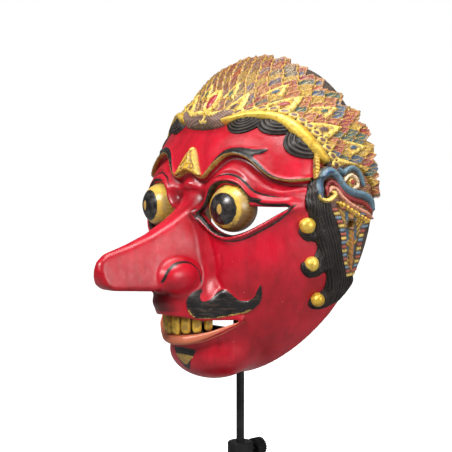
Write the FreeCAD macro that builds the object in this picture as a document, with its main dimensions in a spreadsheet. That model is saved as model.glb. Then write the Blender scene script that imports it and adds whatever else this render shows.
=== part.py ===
import FreeCAD, Part
import math
import os

import Sketcher

from FreeCAD import Placement, Rotation, Vector

# A carved dance mask hung on a steel display stand.  The origin is the rod's
# axis on the underside of the base, +Z is up and the face looks along -Y.
# Heights named "..._level" are measured up from the chin's lowest point.

DIMENSIONS = {
    # display stand
    "base_side": 110.0,
    "base_thickness": 8.0,
    "base_corner": 6.0,
    "base_edge": 1.2,
    "felt_thickness": 1.5,
    "felt_inset": 3.0,
    "seat_depth": 3.0,
    "rod_diameter": 5.0,
    "rod_foot": 48.0,
    "running_gap": 0.05,
    "tube_diameter": 11.0,
    "tube_top": 75.0,
    "tube_floor": 21.5,
    "base_screw_diameter": 5.0,
    "base_screw_head": 10.0,
    "base_screw_length": 15.0,
    "collar_diameter": 16.0,
    "collar_height": 12.0,
    "collar_edge": 0.8,
    "thumb_screw_diameter": 4.0,
    "thumb_screw_gap": 0.15,
    "knob_diameter": 12.0,
    "knob_length": 7.0,
    "rod_top_level": 30.95,
    "socket_diameter": 9.0,
    "socket_floor": 8.0,
    "socket_crown": 34.0,
    "socket_end": 31.0,
    "bracket_thickness": 2.2,
    "bracket_floor": 19.0,
    "bracket_height": 10.0,
    "bracket_front": -6.5,
    "bracket_back": 1.0,
    "bracket_strip": 3.0,
    "bracket_screw_diameter": 2.5,
    "bracket_screw_length": 7.0,
    "bracket_screw_head": 5.0,
    "bracket_screw_head_height": 1.6,
    # carved face
    "chin_height": 130.0,
    "widest_level": 105.0,
    "half_width": 75.0,
    "half_depth": 85.0,
    "dome_rise": 90.0,
    "back_plane": 40.0,
    "wall": 7.0,
    "jaw_back": -6.0,
    "floor_trim": 12.5,
    "jaw_slope": 22.5,
    "muzzle_half_width": 34.0,
    "muzzle_reach": 63.0,
    "muzzle_half_height": 27.0,
    "muzzle_level": 38.0,
    "muzzle_half_depth": 42.0,
    "chin_half_width": 24.0,
    "chin_half_depth": 18.0,
    "chin_reach": 48.0,
    "chin_half_height": 17.0,
    "lip_radius": 4.5,
    "lip_corner": 29.0,
    "lip_corner_level": 39.5,
    "brow_swell": 3.5,
    # eyes
    "eye_spread": 31.1,
    "eye_level": 106.4,
    "eye_centre": -35.2,
    "eye_radius": 14.2,
    "eye_gap": 0.4,
    "lid_thickness": 2.8,
    "eye_dowel_diameter": 3.0,
    "brow_rise": 3.2,
    "brow_fall": 2.6,
    # nose
    "nose_tip": -112.0,
    "nose_tip_level": 71.5,
    "nose_tip_half_height": 9.3,
    "nose_tip_half_width": 7.4,
    "nose_root_half_height": 24.5,
    "nose_root_half_width": 13.5,
    "nose_root_level": 84.0,
    "nostril_radius": 9.5,
    "nostril_spread": 8.5,
    "nostril_level": 67.5,
    "nose_dowel_diameter": 8.0,
    "nose_dowel_length": 34.0,
    # applied carving
    "tooth_height": 10.0,
    "tooth_level": 40.5,
    "tooth_thickness": 5.0,
    "tooth_reach": 58.5,
    "tooth_half_width": 21.0,
    "tooth_centre": 24.0,
    "jewel_swell": 4.5,
    "crown_swell": 4.0,
    "diadem_swell": 5.0,
    "diadem_width": 6.5,
    "band_end": 11.0,
    "lobe_swell": 7.0,
    "gem_half_width": 4.0,
    "gem_half_height": 6.5,
    "gem_level": 171.0,
    "gem_swell": 7.5,
    "fringe_swell": 3.0,
    "sideburn_swell": 4.5,
    "ornament_swell": 6.5,
    "drop_swell": 4.5,
    "boss_radius": 5.0,
    "cord_hole_diameter": 4.0,
    "cord_hole_start": 42.0,
    "cord_hole_back": 25.7,
    "cord_hole_depth": 60.0,
    "cord_hole_turn": 12.0,
    "cord_hole_level": 97.0,
}

ELLIPSE_STATIONS = 11
JAW_SQUARENESS = 4

doc = FreeCAD.newDocument("dance_mask")
sheet = doc.addObject("Spreadsheet::Sheet", "Dimensions")
nodes = []


def fill_sheet():
    for row, (name, value) in enumerate(DIMENSIONS.items(), start=1):
        sheet.set(f"A{row}", name)
        sheet.set(f"B{row}", str(value))
        sheet.setAlias(f"B{row}", name)
    doc.recompute()


def size(name):
    return float(getattr(sheet, name))


def cell(formula):
    """Point every dimension word of a formula at the sheet."""
    words = sorted(DIMENSIONS, key=len, reverse=True)
    out = []
    for token in formula.replace("(", " ( ").replace(")", " ) ").split():
        out.append(f"Dimensions.{token}" if token in words else token)
    return " ".join(out)


def bind(obj, **formulas):
    for prop, formula in formulas.items():
        obj.setExpression(prop, cell(formula))
    return obj


def place(obj, x="0", y="0", z="0", rotation=None):
    if rotation is not None:
        obj.Placement = Placement(Vector(0, 0, 0), rotation)
    for axis, formula in (("x", x), ("y", y), ("z", z)):
        obj.setExpression(f"Placement.Base.{axis}", cell(formula))
    return obj


def level(formula):
    return f"chin_height + {formula}"


def keep(obj, label):
    obj.Label = label
    nodes.append(obj)
    return obj


def cylinder(name, radius, height, **where):
    obj = doc.addObject("Part::Cylinder", name)
    bind(obj, Radius=radius, Height=height)
    return place(obj, **where)


def box(name, length, width, height, **where):
    obj = doc.addObject("Part::Box", name)
    bind(obj, Length=length, Width=width, Height=height)
    return place(obj, **where)


def ball(name, radius, **where):
    obj = doc.addObject("Part::Sphere", name)
    bind(obj, Radius=radius)
    return place(obj, **where)


def ellipsoid(name, half_width, half_depth, half_height, **where):
    obj = doc.addObject("Part::Ellipsoid", name)
    obj.Angle1 = -90
    obj.Angle2 = 90
    bind(obj, Radius1=half_height, Radius2=half_width, Radius3=half_depth)
    return place(obj, **where)


def cut(name, base, tool):
    obj = doc.addObject("Part::Cut", name)
    obj.Base = base
    obj.Tool = tool
    return obj


def common(name, first, second):
    obj = doc.addObject("Part::MultiCommon", name)
    obj.Shapes = [first, second]
    return obj


def fuse(name, *shapes):
    obj = doc.addObject("Part::MultiFuse", name)
    obj.Shapes = list(shapes)
    obj.Refine = True
    return obj


def fuse_in_turn(name, first, *others):
    """Join pieces one after another, for surfaces that touch along curves."""
    joined = first
    for index, other in enumerate(others, start=1):
        joined = fuse(f"{name}_{index}", joined, other)
    return joined


def mirrored(name, source):
    obj = doc.addObject("Part::Mirroring", name)
    obj.Source = source
    obj.Normal = Vector(1, 0, 0)
    return obj


def group(name, *members):
    obj = doc.addObject("Part::Compound", name)
    obj.Links = list(members)
    return obj


def pair(label, left):
    """Keep a left piece and its mirror image as two nodes."""
    keep(left, f"{label}_left")
    keep(mirrored(f"{label}_mirror", left), f"{label}_right")


def outline(name, curves):
    """A closed wire from curves given in its own plane, as a sketch."""
    obj = doc.addObject("Sketcher::SketchObject", name)
    for curve in curves:
        obj.addGeometry(curve, False)
    return obj


def front_sketch(name, curves, start):
    """Sketch x is the mask's X and sketch y is the height."""
    obj = outline(name, curves)
    rotation = Rotation(Vector(1, 0, 0), 90)
    return place(obj, y=start, z="chin_height", rotation=rotation)


def side_sketch(name, curves):
    """Sketch x is the mask's Y and sketch y is the height."""
    obj = outline(name, curves)
    rotation = Rotation(Vector(1, 1, 1), 120)
    return place(obj, z="chin_height", rotation=rotation)


def slab(name, sketch, direction, length):
    obj = doc.addObject("Part::Extrusion", name)
    obj.Base = sketch
    obj.DirMode = "Custom"
    obj.Dir = direction
    obj.LengthFwd = length
    obj.Solid = True
    return obj


def through_front(name, curves, start="band_end"):
    """Extrude a front-view outline forward through the face."""
    return slab(name, front_sketch(f"{name}_outline", curves, start), Vector(0, -1, 0), 140.0)


def through_side(name, curves, length=110.0):
    return slab(name, side_sketch(f"{name}_outline", curves), Vector(1, 0, 0), length)


def loop(points):
    """Straight edges round a list of points."""
    corners = [Vector(x, y, 0) for x, y in points]
    ends = corners[1:] + corners[:1]
    return [Part.LineSegment(a, b) for a, b in zip(corners, ends)]


def smooth_loop(points):
    """One closed smooth curve through a list of points."""
    spline = Part.BSplineCurve()
    spline.interpolate([Vector(x, y, 0) for x, y in points], PeriodicFlag=True)
    return [spline]


def arc(start, middle, end):
    corners = [Vector(x, y, 0) for x, y in (start, middle, end)]
    return Part.Arc(*corners)


def lens(left, over, right, under):
    return [arc(left, over, right), arc(right, under, left)]


# ---------------------------------------------------------------- face block

def jaw_loft(name, growth):
    """Ellipses from the widest level down to the chin."""
    sections = []
    for step in range(ELLIPSE_STATIONS):
        angle = 0.47 * math.pi * step / (ELLIPSE_STATIONS - 1)
        drop = math.sin(angle)
        across = math.cos(angle)
        along = (1 - drop ** JAW_SQUARENESS) ** (1 / JAW_SQUARENESS)
        ring = doc.addObject("Part::Ellipse", f"{name}_ring")
        bind(
            ring,
            MajorRadius=f"( half_depth + {growth} ) * {along:.6f}",
            MinorRadius=f"( half_width + {growth} ) * {across:.6f}",
        )
        place(
            ring,
            y="back_plane",
            z=f"chin_height + widest_level - ( widest_level + {growth} ) * {drop:.6f}",
            rotation=Rotation(Vector(0, 0, 1), 90),
        )
        sections.append(ring)
    obj = doc.addObject("Part::Loft", name)
    obj.Sections = sections
    obj.Solid = True
    return obj


def dome(name, growth):
    """The upper half of an ellipsoid over the widest level."""
    obj = ellipsoid(
        name,
        f"half_width + {growth}",
        f"half_depth + {growth}",
        f"dome_rise + {growth}",
        y="back_plane",
        z=level("widest_level"),
    )
    obj.Angle1 = 0
    return obj


def head(name, growth):
    return fuse(name, dome(f"{name}_dome", growth), jaw_loft(f"{name}_jaw", growth))


def muzzle(name, growth):
    return ellipsoid(
        name,
        f"muzzle_half_width + {growth}",
        f"muzzle_half_depth + {growth}",
        f"muzzle_half_height + {growth}",
        y="0 - muzzle_reach + muzzle_half_depth",
        z=level("muzzle_level"),
    )


def chin(name, growth):
    return ellipsoid(
        name,
        f"chin_half_width + {growth}",
        f"chin_half_depth + {growth}",
        f"chin_half_height + {growth}",
        y="0 - chin_reach + chin_half_depth",
        z=level("chin_half_height"),
    )


def lip(name, rise, reach):
    """A round bead from one mouth corner to the other."""
    corner = size("lip_corner")
    low = size("lip_corner_level")
    path = Part.Arc(
        Vector(-corner, -30, low),
        Vector(0, -reach, low + rise),
        Vector(corner, -30, low),
    ).toShape()
    start = path.valueAt(path.FirstParameter)
    heading = path.tangentAt(path.FirstParameter)
    profile = Part.Wire(Part.Circle(start, heading, size("lip_radius")).toShape())
    bead = Part.Wire(path).makePipeShell([profile], True, True)
    ends = [Part.makeSphere(size("lip_radius"), Vector(side * corner, -30, low)) for side in (-1, 1)]
    obj = doc.addObject("Part::Feature", name)
    obj.Shape = bead.multiFuse(ends)
    return place(obj, z="chin_height")


def eye_ball(name, extra):
    return ball(
        name,
        f"eye_radius + {extra}",
        x="eye_spread",
        y="eye_centre",
        z=level("eye_level"),
    )


def lids(side_name):
    """A thin round lid over and under the eye."""
    rind = eye_ball(f"{side_name}_lid_rind", "eye_gap + lid_thickness")
    front = box(
        f"{side_name}_lid_front",
        "4 * eye_radius",
        "3 * eye_radius",
        "4 * eye_radius",
        x="eye_spread - 2 * eye_radius",
        y="eye_centre - 2.7 * eye_radius",
        z=level("eye_level - 2 * eye_radius"),
    )
    return common(f"{side_name}_lids", rind, front)


def brow_outline():
    middle = [(4, 126), (12, 122), (21, 129), (31, 134.5), (41, 131), (50, 124), (59, 121.5)]
    top = [(x, height + size("brow_rise")) for x, height in middle]
    low = [(x, height - size("brow_fall")) for x, height in middle]
    upper = Part.BSplineCurve()
    upper.interpolate([Vector(x, y, 0) for x, y in top])
    lower = Part.BSplineCurve()
    lower.interpolate([Vector(x, y, 0) for x, y in low])
    right = Part.LineSegment(Vector(*top[-1], 0), Vector(*low[-1], 0))
    left = Part.LineSegment(Vector(*low[0], 0), Vector(*top[0], 0))
    return [upper, right, lower, left]


def drilled_cord_hole(name):
    """The left tying hole, drilled square to the wall from outside."""
    aim = Rotation(Vector(0, 0, 1), 0 - size("cord_hole_turn")) * Rotation(Vector(0, 1, 0), 90)
    return cylinder(
        name,
        "cord_hole_diameter / 2",
        "cord_hole_depth",
        x="cord_hole_start",
        y="cord_hole_back",
        z=level("cord_hole_level"),
        rotation=aim,
    )


def build_face():
    outer = head("face_outer", 0)
    brows = common(
        "brow_left_swell",
        head("brow_layer", size("brow_swell")),
        through_front("brow_slab", brow_outline()),
    )
    lid_left = lids("eye")
    solid = fuse_in_turn(
        "face_solid",
        outer,
        muzzle("muzzle_outer", 0),
        chin("chin_outer", 0),
        lip("upper_lip", 8.5, 62.0),
        lip("lower_lip", -8.5, 57.0),
        brows,
        mirrored("brow_right_swell", brows),
        lid_left,
        mirrored("lid_right", lid_left),
    )
    thickness = size("wall")
    hollow = fuse(
        "face_hollow_form",
        head("face_inner", -thickness),
        muzzle("muzzle_inner", -thickness),
    )
    back = box(
        "back_trim",
        "3 * half_width",
        "2 * half_depth",
        "4 * widest_level",
        x="0 - 1.5 * half_width",
        y="back_plane",
        z="chin_height - widest_level",
    )
    jaw_trim = box(
        "jaw_trim",
        "3 * half_width",
        "2 * half_depth",
        "2 * widest_level",
        x="0 - 1.5 * half_width",
        y="jaw_back",
        z="chin_height",
        rotation=Rotation(Vector(1, 0, 0), -size("jaw_slope")),
    )
    low_trim = box(
        "low_jaw_trim",
        "3 * half_width",
        "half_depth",
        "widest_level",
        x="0 - 1.5 * half_width",
        y="jaw_back",
        z="chin_height - widest_level + floor_trim",
    )
    eye_slot = through_front("eye_slot", lens((6, 102), (30, 121.5), (56, 108), (29, 90)))
    mouth_slot = through_front("mouth_slot", lens((-29, 39), (0, 45), (29, 39), (0, 33.5)))
    sockets = eye_ball("eye_socket", "eye_gap")
    cord_hole = drilled_cord_hole("cord_hole")
    dowel_hole = cylinder(
        "nose_dowel_hole",
        "nose_dowel_diameter / 2",
        "nose_dowel_length",
        y="0 - 36",
        z=level("nose_root_level"),
        rotation=Rotation(Vector(1, 0, 0), 90),
    )
    peg_hole = eye_dowel("eye_dowel_hole")
    tooth_seat = tooth_strip("tooth_seat")
    removed = fuse(
        "face_removed",
        hollow,
        back,
        jaw_trim,
        low_trim,
        eye_slot,
        mirrored("eye_slot_right", eye_slot),
        mouth_slot,
        sockets,
        mirrored("eye_socket_right", sockets),
        cord_hole,
        mirrored("cord_hole_right", cord_hole),
        dowel_hole,
        tooth_seat,
        peg_hole,
        mirrored("peg_hole_right", peg_hole),
        bracket_screws("bracket_screw_holes"),
    )
    face = cut("face_blank", solid, removed)
    keep(face, "face_shell")
    return outer, solid


# ---------------------------------------------------------------- eyes, nose

def eye_dowel(name):
    return cylinder(
        name,
        "eye_dowel_diameter / 2",
        "eye_radius + 4.5",
        x="eye_spread",
        y="eye_centre + 3.4",
        z=level("eye_level + 2"),
    )


def build_eyes():
    dowel = eye_dowel("eye_dowel")
    whole = eye_ball("eye_whole", "0")
    eye = cut("eye_drilled", whole, eye_dowel("eye_bore"))
    pair("eyeball", eye)
    keep(group("eye_dowel_pair", dowel, mirrored("eye_dowel_mirror", dowel)), "eye_dowels")


def nose_section(reach, half_width, top, low):
    """A tall oval across the nose at one distance along it."""
    centre = Vector(0, reach, (top + low) / 2)
    oval = Part.Ellipse(Vector(0, reach, top), centre + Vector(half_width, 0, 0), centre)
    return Part.Wire(oval.toShape())


def build_nose(solid):
    tip = size("nose_tip")
    tip_level = size("nose_tip_level")
    tip_half = size("nose_tip_half_height")
    root_half = size("nose_root_half_height")
    root_level = size("nose_root_level")
    root = -34.0
    neck = tip + 9.0
    sections = []
    for step in range(6):
        share = step / 5
        half_height = root_half + (tip_half - root_half) * share
        middle = root_level + (tip_level - root_level) * share
        half_width = size("nose_root_half_width")
        half_width += (size("nose_tip_half_width") - half_width) * share ** 0.6
        reach = root + (neck - root) * share
        sections.append(nose_section(reach, half_width, middle + half_height, middle - half_height))
    bridge = doc.addObject("Part::Feature", "nose_bridge")
    loft = Part.makeLoft(sections, True)
    if loft.Volume < 0:
        loft.reverse()
    bridge.Shape = loft
    place(bridge, z="chin_height")
    nose_tip = ellipsoid(
        "nose_end",
        "nose_tip_half_width",
        "9",
        "nose_tip_half_height",
        y="nose_tip + 9",
        z=level("nose_tip_level"),
    )
    wing = ball(
        "nostril_wing",
        "nostril_radius",
        x="nostril_spread",
        y="0 - 48",
        z=level("nostril_level"),
    )
    body = fuse_in_turn("nose_whole", bridge, nose_tip, wing, mirrored("nostril_wing_right", wing))
    dowel = cylinder(
        "nose_dowel_pin",
        "nose_dowel_diameter / 2",
        "nose_dowel_length",
        y="0 - 37",
        z=level("nose_root_level"),
        rotation=Rotation(Vector(1, 0, 0), 90),
    )
    fitted = cut("nose_fitted", body, solid)
    keep(cut("nose_carving", fitted, dowel), "nose")
    keep(dowel, "nose_dowel")


def tooth_strip(name):
    """A curved strip that follows the inside of the upper lip."""
    rings = []
    outer_radius = "tooth_reach - tooth_centre"
    inner_radius = "tooth_reach - tooth_centre - tooth_thickness"
    for ring_name, radius in (("outer", outer_radius), ("inner", inner_radius)):
        ring = cylinder(
            f"{name}_{ring_name}",
            radius,
            "tooth_height",
            y="0 - tooth_centre",
            z=level("tooth_level - tooth_height / 2"),
        )
        rings.append(ring)
    front = box(
        f"{name}_front",
        "2 * tooth_half_width",
        "tooth_reach",
        "2 * tooth_height",
        x="0 - tooth_half_width",
        y="0 - 2 * tooth_reach + tooth_centre / 2",
        z=level("tooth_level - tooth_height"),
    )
    return common(name, cut(f"{name}_ring", *rings), front)


def build_teeth():
    row = tooth_strip("tooth_strip")
    gaps = []
    for index in range(-3, 4):
        turn = math.radians(index * 11.5)
        radius = size("tooth_reach") - size("tooth_centre")
        notch = cylinder(
            "tooth_gap",
            "0.45",
            "tooth_height * 0.7",
            x=f"{radius * math.sin(turn):.4f}",
            y=f"{-size('tooth_centre') - radius * math.cos(turn):.4f}",
            z=level("tooth_level - tooth_height / 2"),
        )
        gaps.append(notch)
    keep(cut("tooth_carving", row, fuse("tooth_gaps", *gaps)), "upper_teeth")


# ---------------------------------------------------------------- applied carving

def layer(name, swell, slab_shape, outer):
    """The part of a raised layer over the face that lies within a slab."""
    raised = common(f"{name}_raised", head(f"{name}_layer", size(swell)), slab_shape)
    return cut(f"{name}_fitted", raised, outer)


def diadem_line(offset):
    """The band's line in front view, from the centre to the temple."""
    centre = [(19, 160), (28, 164.5), (38, 164.5), (48, 159.5), (56.5, 152), (63.5, 142), (69, 131)]
    return [(x - 0.35 * offset, height - offset) for x, height in centre]


def open_curve(points):
    spline = Part.BSplineCurve()
    spline.interpolate([Vector(x, y, 0) for x, y in points])
    return spline


def band_outline(upper, lower):
    ends = (Vector(*upper[-1], 0), Vector(*lower[-1], 0))
    starts = (Vector(*lower[0], 0), Vector(*upper[0], 0))
    return [open_curve(upper), Part.LineSegment(*ends), open_curve(lower), Part.LineSegment(*starts)]


def crown_outline():
    """Right half of the crown's field, above the band, in front view."""
    lower = [(0, 157.5), (10, 156.5)] + diadem_line(0)
    half = [open_curve(lower)]
    corners = [(69, 131), (71, 118), (95, 118), (95, 215), (0, 215), (0, 157.5)]
    walls = [Vector(x, y, 0) for x, y in corners]
    half += [Part.LineSegment(a, b) for a, b in zip(walls, walls[1:])]
    return half


def leaf_tip_slab():
    """Seen from above: the zigzag rear edge of the crown's leaves."""
    corners = [(-95, -80), (95, -80), (95, 33)]
    for index in range(6, -7, -1):
        corners.append((index * 13.0 + 6.5, 20.0))
        corners.append((index * 13.0, 28.0))
    corners.append((-95, 33))
    sketch = outline("leaf_tip_outline", loop(corners))
    place(sketch, z=level("widest_level"))
    return slab("leaf_tip_slab", sketch, Vector(0, 0, 1), 140.0)


def build_crown(outer):
    half = through_front("crown_slab", crown_outline(), "back_plane")
    field = fuse("crown_field", half, mirrored("crown_slab_right", half))
    raised = layer("crown", "crown_swell", field, outer)
    trimmed = common("crown_trimmed", raised, leaf_tip_slab())
    lobes = lobe_slab()
    gem = gem_slab()
    diadem = diadem_slab()
    taken = fuse("crown_taken", lobes, gem, diadem)
    ears = ornament_slab("crown_ear_field")
    ear_cut = fuse("crown_ear_taken", ears, mirrored("crown_ear_right", ears))
    keep(cut("crown_carving", cut("crown_without_band", trimmed, taken), ear_cut), "crown")
    lobe_piece = cut("lobes_fitted", layer("lobe", "lobe_swell", lobes, outer), gem)
    keep(lobe_piece, "crown_lobes")
    keep(layer("gem", "gem_swell", gem, outer), "crown_gem")
    band = cut("diadem_clear", layer("diadem", "diadem_swell", diadem, outer), lobes)
    keep(cut("diadem_trimmed", band, ear_cut), "diadem_band")
    return diadem


def lobe_slab():
    outline_points = [(0.8, 158), (7, 154.5), (17, 157), (20.5, 163), (12, 163.5), (2, 162.5)]
    left = through_front("lobe_slab", smooth_loop(outline_points))
    return fuse("lobe_slabs", left, mirrored("lobe_slab_right", left))


def oval_outline(x, height, half_width, half_height):
    centre = Vector(x, height, 0)
    across = centre + Vector(half_width, 0, 0)
    above = centre + Vector(0, half_height, 0)
    if half_width >= half_height:
        return [Part.Ellipse(across, above, centre)]
    return [Part.Ellipse(above, centre - Vector(half_width, 0, 0), centre)]


def gem_slab():
    oval = oval_outline(0, size("gem_level"), size("gem_half_width"), size("gem_half_height"))
    return through_front("gem_slab", oval)


def diadem_slab():
    half = size("diadem_width") / 2
    left = through_front("diadem_slab", band_outline(diadem_line(-half), diadem_line(half)))
    return fuse("diadem_slabs", left, mirrored("diadem_slab_right", left))


def build_fringe(outer, diadem):
    """Scalloped locks of hair under the band."""
    locks = []
    ovals = ((28, 157, 9.5, 8), (43.5, 156, 10.5, 9.5), (56.5, 145.5, 8.5, 10))
    for x, height, half_width, half_height in ovals:
        locks.append(through_front("lock_slab", oval_outline(x, height, half_width, half_height)))
    left = fuse("lock_slabs", *locks)
    both = fuse("fringe_slabs", left, mirrored("lock_slabs_right", left))
    raised = layer("fringe", "fringe_swell", both, outer)
    above = through_front("above_band", crown_outline())
    clear = fuse("fringe_clear", above, mirrored("above_band_right", above), diadem, lobe_slab())
    keep(cut("fringe_carving", raised, clear), "hair_fringe")


def build_jewel(outer):
    slab_shape = through_front("jewel_slab", [
        arc((-10, 125), (-5.5, 134), (0, 143.5)),
        arc((0, 143.5), (5.5, 134), (10, 125)),
        arc((10, 125), (0, 128), (-10, 125)),
    ])
    raised = layer("jewel", "jewel_swell", slab_shape, outer)
    keep(cut("jewel_carving", raised, brow_copy("jewel_brows")), "brow_jewel")


def brow_copy(name):
    left = through_front(name, brow_outline())
    return fuse(f"{name}_pair", left, mirrored(f"{name}_right", left))


def sideburn_outline():
    """Three hooked locks in side view."""
    return smooth_loop([
        (0, 121.5), (-6.5, 116.5), (-9.5, 107), (-13, 99), (-15.5, 93), (-11, 87.5),
        (-5, 86), (-3, 84), (-6.5, 78), (-11.5, 72), (-9, 65.5), (-1, 64.5),
        (2, 62), (-1, 55), (-2.5, 49.5), (3.5, 45.5), (12, 51), (17.5, 60),
        (18, 72), (14, 86), (8, 99), (4, 111), (2, 120),
    ])


def ornament_outline():
    """The curled beast-head shape over the ear, in side view."""
    return smooth_loop([
        (-2, 113), (1, 110), (8, 111), (14, 106), (22, 100), (31, 96.5),
        (36, 100), (36.5, 110), (35, 119), (30, 127), (20, 128), (12, 131), (3, 130), (-2, 122),
    ])


def drop_outline():
    """The hanging leaf below the ear, in side view."""
    return smooth_loop([
        (4, 110), (8, 101), (12.5, 90), (14.5, 78), (17, 68), (21.5, 64),
        (26, 69), (29, 80), (31, 92), (30, 101), (20, 108),
    ])


def ornament_slab(name):
    return through_side(name, ornament_outline())


def build_sides(outer):
    hole = drilled_cord_hole("drop_cord_hole")
    ornament = ornament_slab("ornament_slab")
    drop = through_side("drop_slab", drop_outline())
    sideburn = through_side("sideburn_slab", sideburn_outline())
    ear_gap = fuse("sideburn_clear", ornament, drop)
    ornament_piece = layer("ornament", "ornament_swell", ornament, outer)
    pair("ear_ornament", cut("ornament_drilled", ornament_piece, hole))
    drop_piece = cut("drop_clear", layer("drop", "drop_swell", drop, outer), ornament)
    pair("ear_drop", cut("drop_drilled", drop_piece, hole))
    lock = cut("sideburn_trimmed", layer("sideburn", "sideburn_swell", sideburn, outer), ear_gap)
    bosses = []
    for x, y, height in ((63.6, -10.5, 94.5), (63.0, -6.5, 72.5), (59.6, 2.6, 51.0)):
        bosses.append(ball("boss", "boss_radius", x=f"{x}", y=f"{y}", z=level(f"{height}")))
    left = cut("bosses_left", fuse("boss_row", *bosses), outer)
    pair("sideburn", cut("sideburn_drilled", lock, left))
    keep(group("boss_pair", left, mirrored("bosses_right", left)), "gilt_bosses")


# ---------------------------------------------------------------- display stand

def body(label):
    return keep(doc.addObject("PartDesign::Body", label), label)


def plane(part, role):
    return next(item for item in part.Origin.OriginFeatures if item.Role == role)


def sketch_on(part, role, name):
    sketch = part.newObject("Sketcher::SketchObject", name)
    sketch.AttachmentSupport = [(plane(part, role), "")]
    sketch.MapMode = "FlatFace"
    return sketch


def add_square(sketch, side_formula):
    """A square centred on the sketch origin, its side set from the sheet."""
    corners = [(-5, -5), (5, -5), (5, 5), (-5, 5)]
    for curve in loop(corners):
        sketch.addGeometry(curve, False)
    for index in range(4):
        sketch.addConstraint(Sketcher.Constraint("Coincident", index, 2, (index + 1) % 4, 1))
    sketch.addConstraint(Sketcher.Constraint("Horizontal", 0))
    sketch.addConstraint(Sketcher.Constraint("Horizontal", 2))
    sketch.addConstraint(Sketcher.Constraint("Vertical", 1))
    sketch.addConstraint(Sketcher.Constraint("Vertical", 3))
    sketch.addConstraint(Sketcher.Constraint("Symmetric", 0, 1, 1, 2, -1, 1))
    width = sketch.addConstraint(Sketcher.Constraint("DistanceX", 0, 1, 0, 2, 10))
    depth = sketch.addConstraint(Sketcher.Constraint("DistanceY", 1, 1, 1, 2, 10))
    sketch.setExpression(f"Constraints[{width}]", cell(side_formula))
    sketch.setExpression(f"Constraints[{depth}]", cell(side_formula))


def add_circle(sketch, radius_formula):
    index = sketch.addGeometry(Part.Circle(Vector(0, 0, 0), Vector(0, 0, 1), 3), False)
    sketch.addConstraint(Sketcher.Constraint("Coincident", index, 3, -1, 1))
    radius = sketch.addConstraint(Sketcher.Constraint("Radius", index, 3))
    sketch.setExpression(f"Constraints[{radius}]", cell(radius_formula))


def pad(part, sketch, length, name):
    feature = part.newObject("PartDesign::Pad", name)
    feature.Profile = sketch
    bind(feature, Length=length)
    return feature


def pocket(part, sketch, length, name, upward=False):
    feature = part.newObject("PartDesign::Pocket", name)
    feature.Profile = sketch
    feature.Reversed = upward
    bind(feature, Length=length)
    return feature


def vertical_edges(shape):
    """Edges that run straight up at a corner of a square block."""
    names = []
    for index, edge in enumerate(shape.Edges, start=1):
        low, high = edge.BoundBox.ZMin, edge.BoundBox.ZMax
        if high - low > 1 and edge.BoundBox.XLength < 0.01 and edge.BoundBox.YLength < 0.01:
            names.append(f"Edge{index}")
    return names


def rim_edges(shape, height):
    """Outside edges lying flat at one height."""
    names = []
    for index, edge in enumerate(shape.Edges, start=1):
        bounds = edge.BoundBox
        flat = bounds.ZLength < 0.01 and abs(bounds.ZMin - height) < 0.01
        outside = max(abs(bounds.XMin), abs(bounds.XMax), abs(bounds.YMin), abs(bounds.YMax)) > 40
        if flat and outside:
            names.append(f"Edge{index}")
    return names


def build_base():
    plate = body("base_plate")
    square = sketch_on(plate, "XY_Plane", "plate_outline")
    add_square(square, "base_side")
    block = pad(plate, square, "base_thickness", "plate_block")
    doc.recompute()
    corners = plate.newObject("PartDesign::Fillet", "plate_corners")
    corners.Base = (block, vertical_edges(block.Shape))
    bind(corners, Radius="base_corner")
    doc.recompute()
    edge = plate.newObject("PartDesign::Chamfer", "plate_edge")
    edge.Base = (corners, rim_edges(corners.Shape, size("base_thickness")))
    bind(edge, Size="base_edge")
    doc.recompute()
    hole = sketch_on(plate, "XY_Plane", "screw_hole_outline")
    add_circle(hole, "base_screw_diameter / 2 + running_gap")
    pocket(plate, hole, "base_thickness", "screw_hole", upward=True)
    seat = sketch_on(plate, "XY_Plane", "tube_seat_outline")
    seat.setExpression("AttachmentOffset.Base.z", cell("base_thickness - seat_depth"))
    add_circle(seat, "tube_diameter / 2 + running_gap")
    pocket(plate, seat, "seat_depth", "tube_seat", upward=True)
    sink = plate.newObject("PartDesign::SubtractiveCone", "screw_sink")
    bind(
        sink,
        Radius1="base_screw_head / 2 + running_gap",
        Radius2="base_screw_diameter / 2 + running_gap",
        Height="( base_screw_head - base_screw_diameter ) / 2",
    )
    place(plate, z="felt_thickness")

    felt = body("base_felt")
    sheet_outline = sketch_on(felt, "XY_Plane", "felt_outline")
    add_square(sheet_outline, "base_side - 2 * felt_inset")
    pad(felt, sheet_outline, "felt_thickness", "felt_sheet")


def revolved(part, points, name):
    """Revolve half-profile (radius, height) points, given as formulas in."""
    sketch = sketch_on(part, "XZ_Plane", f"{name}_profile")
    for curve in loop([(size_of(r), size_of(z)) for r, z in points]):
        sketch.addGeometry(curve, False)
    count = len(points)
    for index in range(count):
        sketch.addConstraint(Sketcher.Constraint("Coincident", index, 2, (index + 1) % count, 1))
    for index, (radius, height) in enumerate(points):
        across = sketch.addConstraint(Sketcher.Constraint("DistanceX", -1, 1, index, 1, 1))
        sketch.setExpression(f"Constraints[{across}]", cell(radius))
        upward = sketch.addConstraint(Sketcher.Constraint("DistanceY", -1, 1, index, 1, 1))
        sketch.setExpression(f"Constraints[{upward}]", cell(height))
    turned = part.newObject("PartDesign::Revolution", name)
    turned.Profile = sketch
    turned.ReferenceAxis = (sketch, ["V_Axis"])
    turned.Angle = 360
    return turned


def size_of(formula):
    """Work out a simple sum of dimension words and millimetre numbers."""
    total = 0.0
    sign = 1
    factor = 1.0
    value = None
    operator = None
    for token in formula.split():
        if token in ("+", "-"):
            total += sign * value
            sign = 1 if token == "+" else -1
            value = None
        elif token in ("*", "/"):
            operator = token
        else:
            number = size(token) if token in DIMENSIONS else float(token)
            if operator == "*":
                value *= number
            elif operator == "/":
                value /= number
            else:
                value = number
            operator = None
    return total + sign * value * factor


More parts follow.
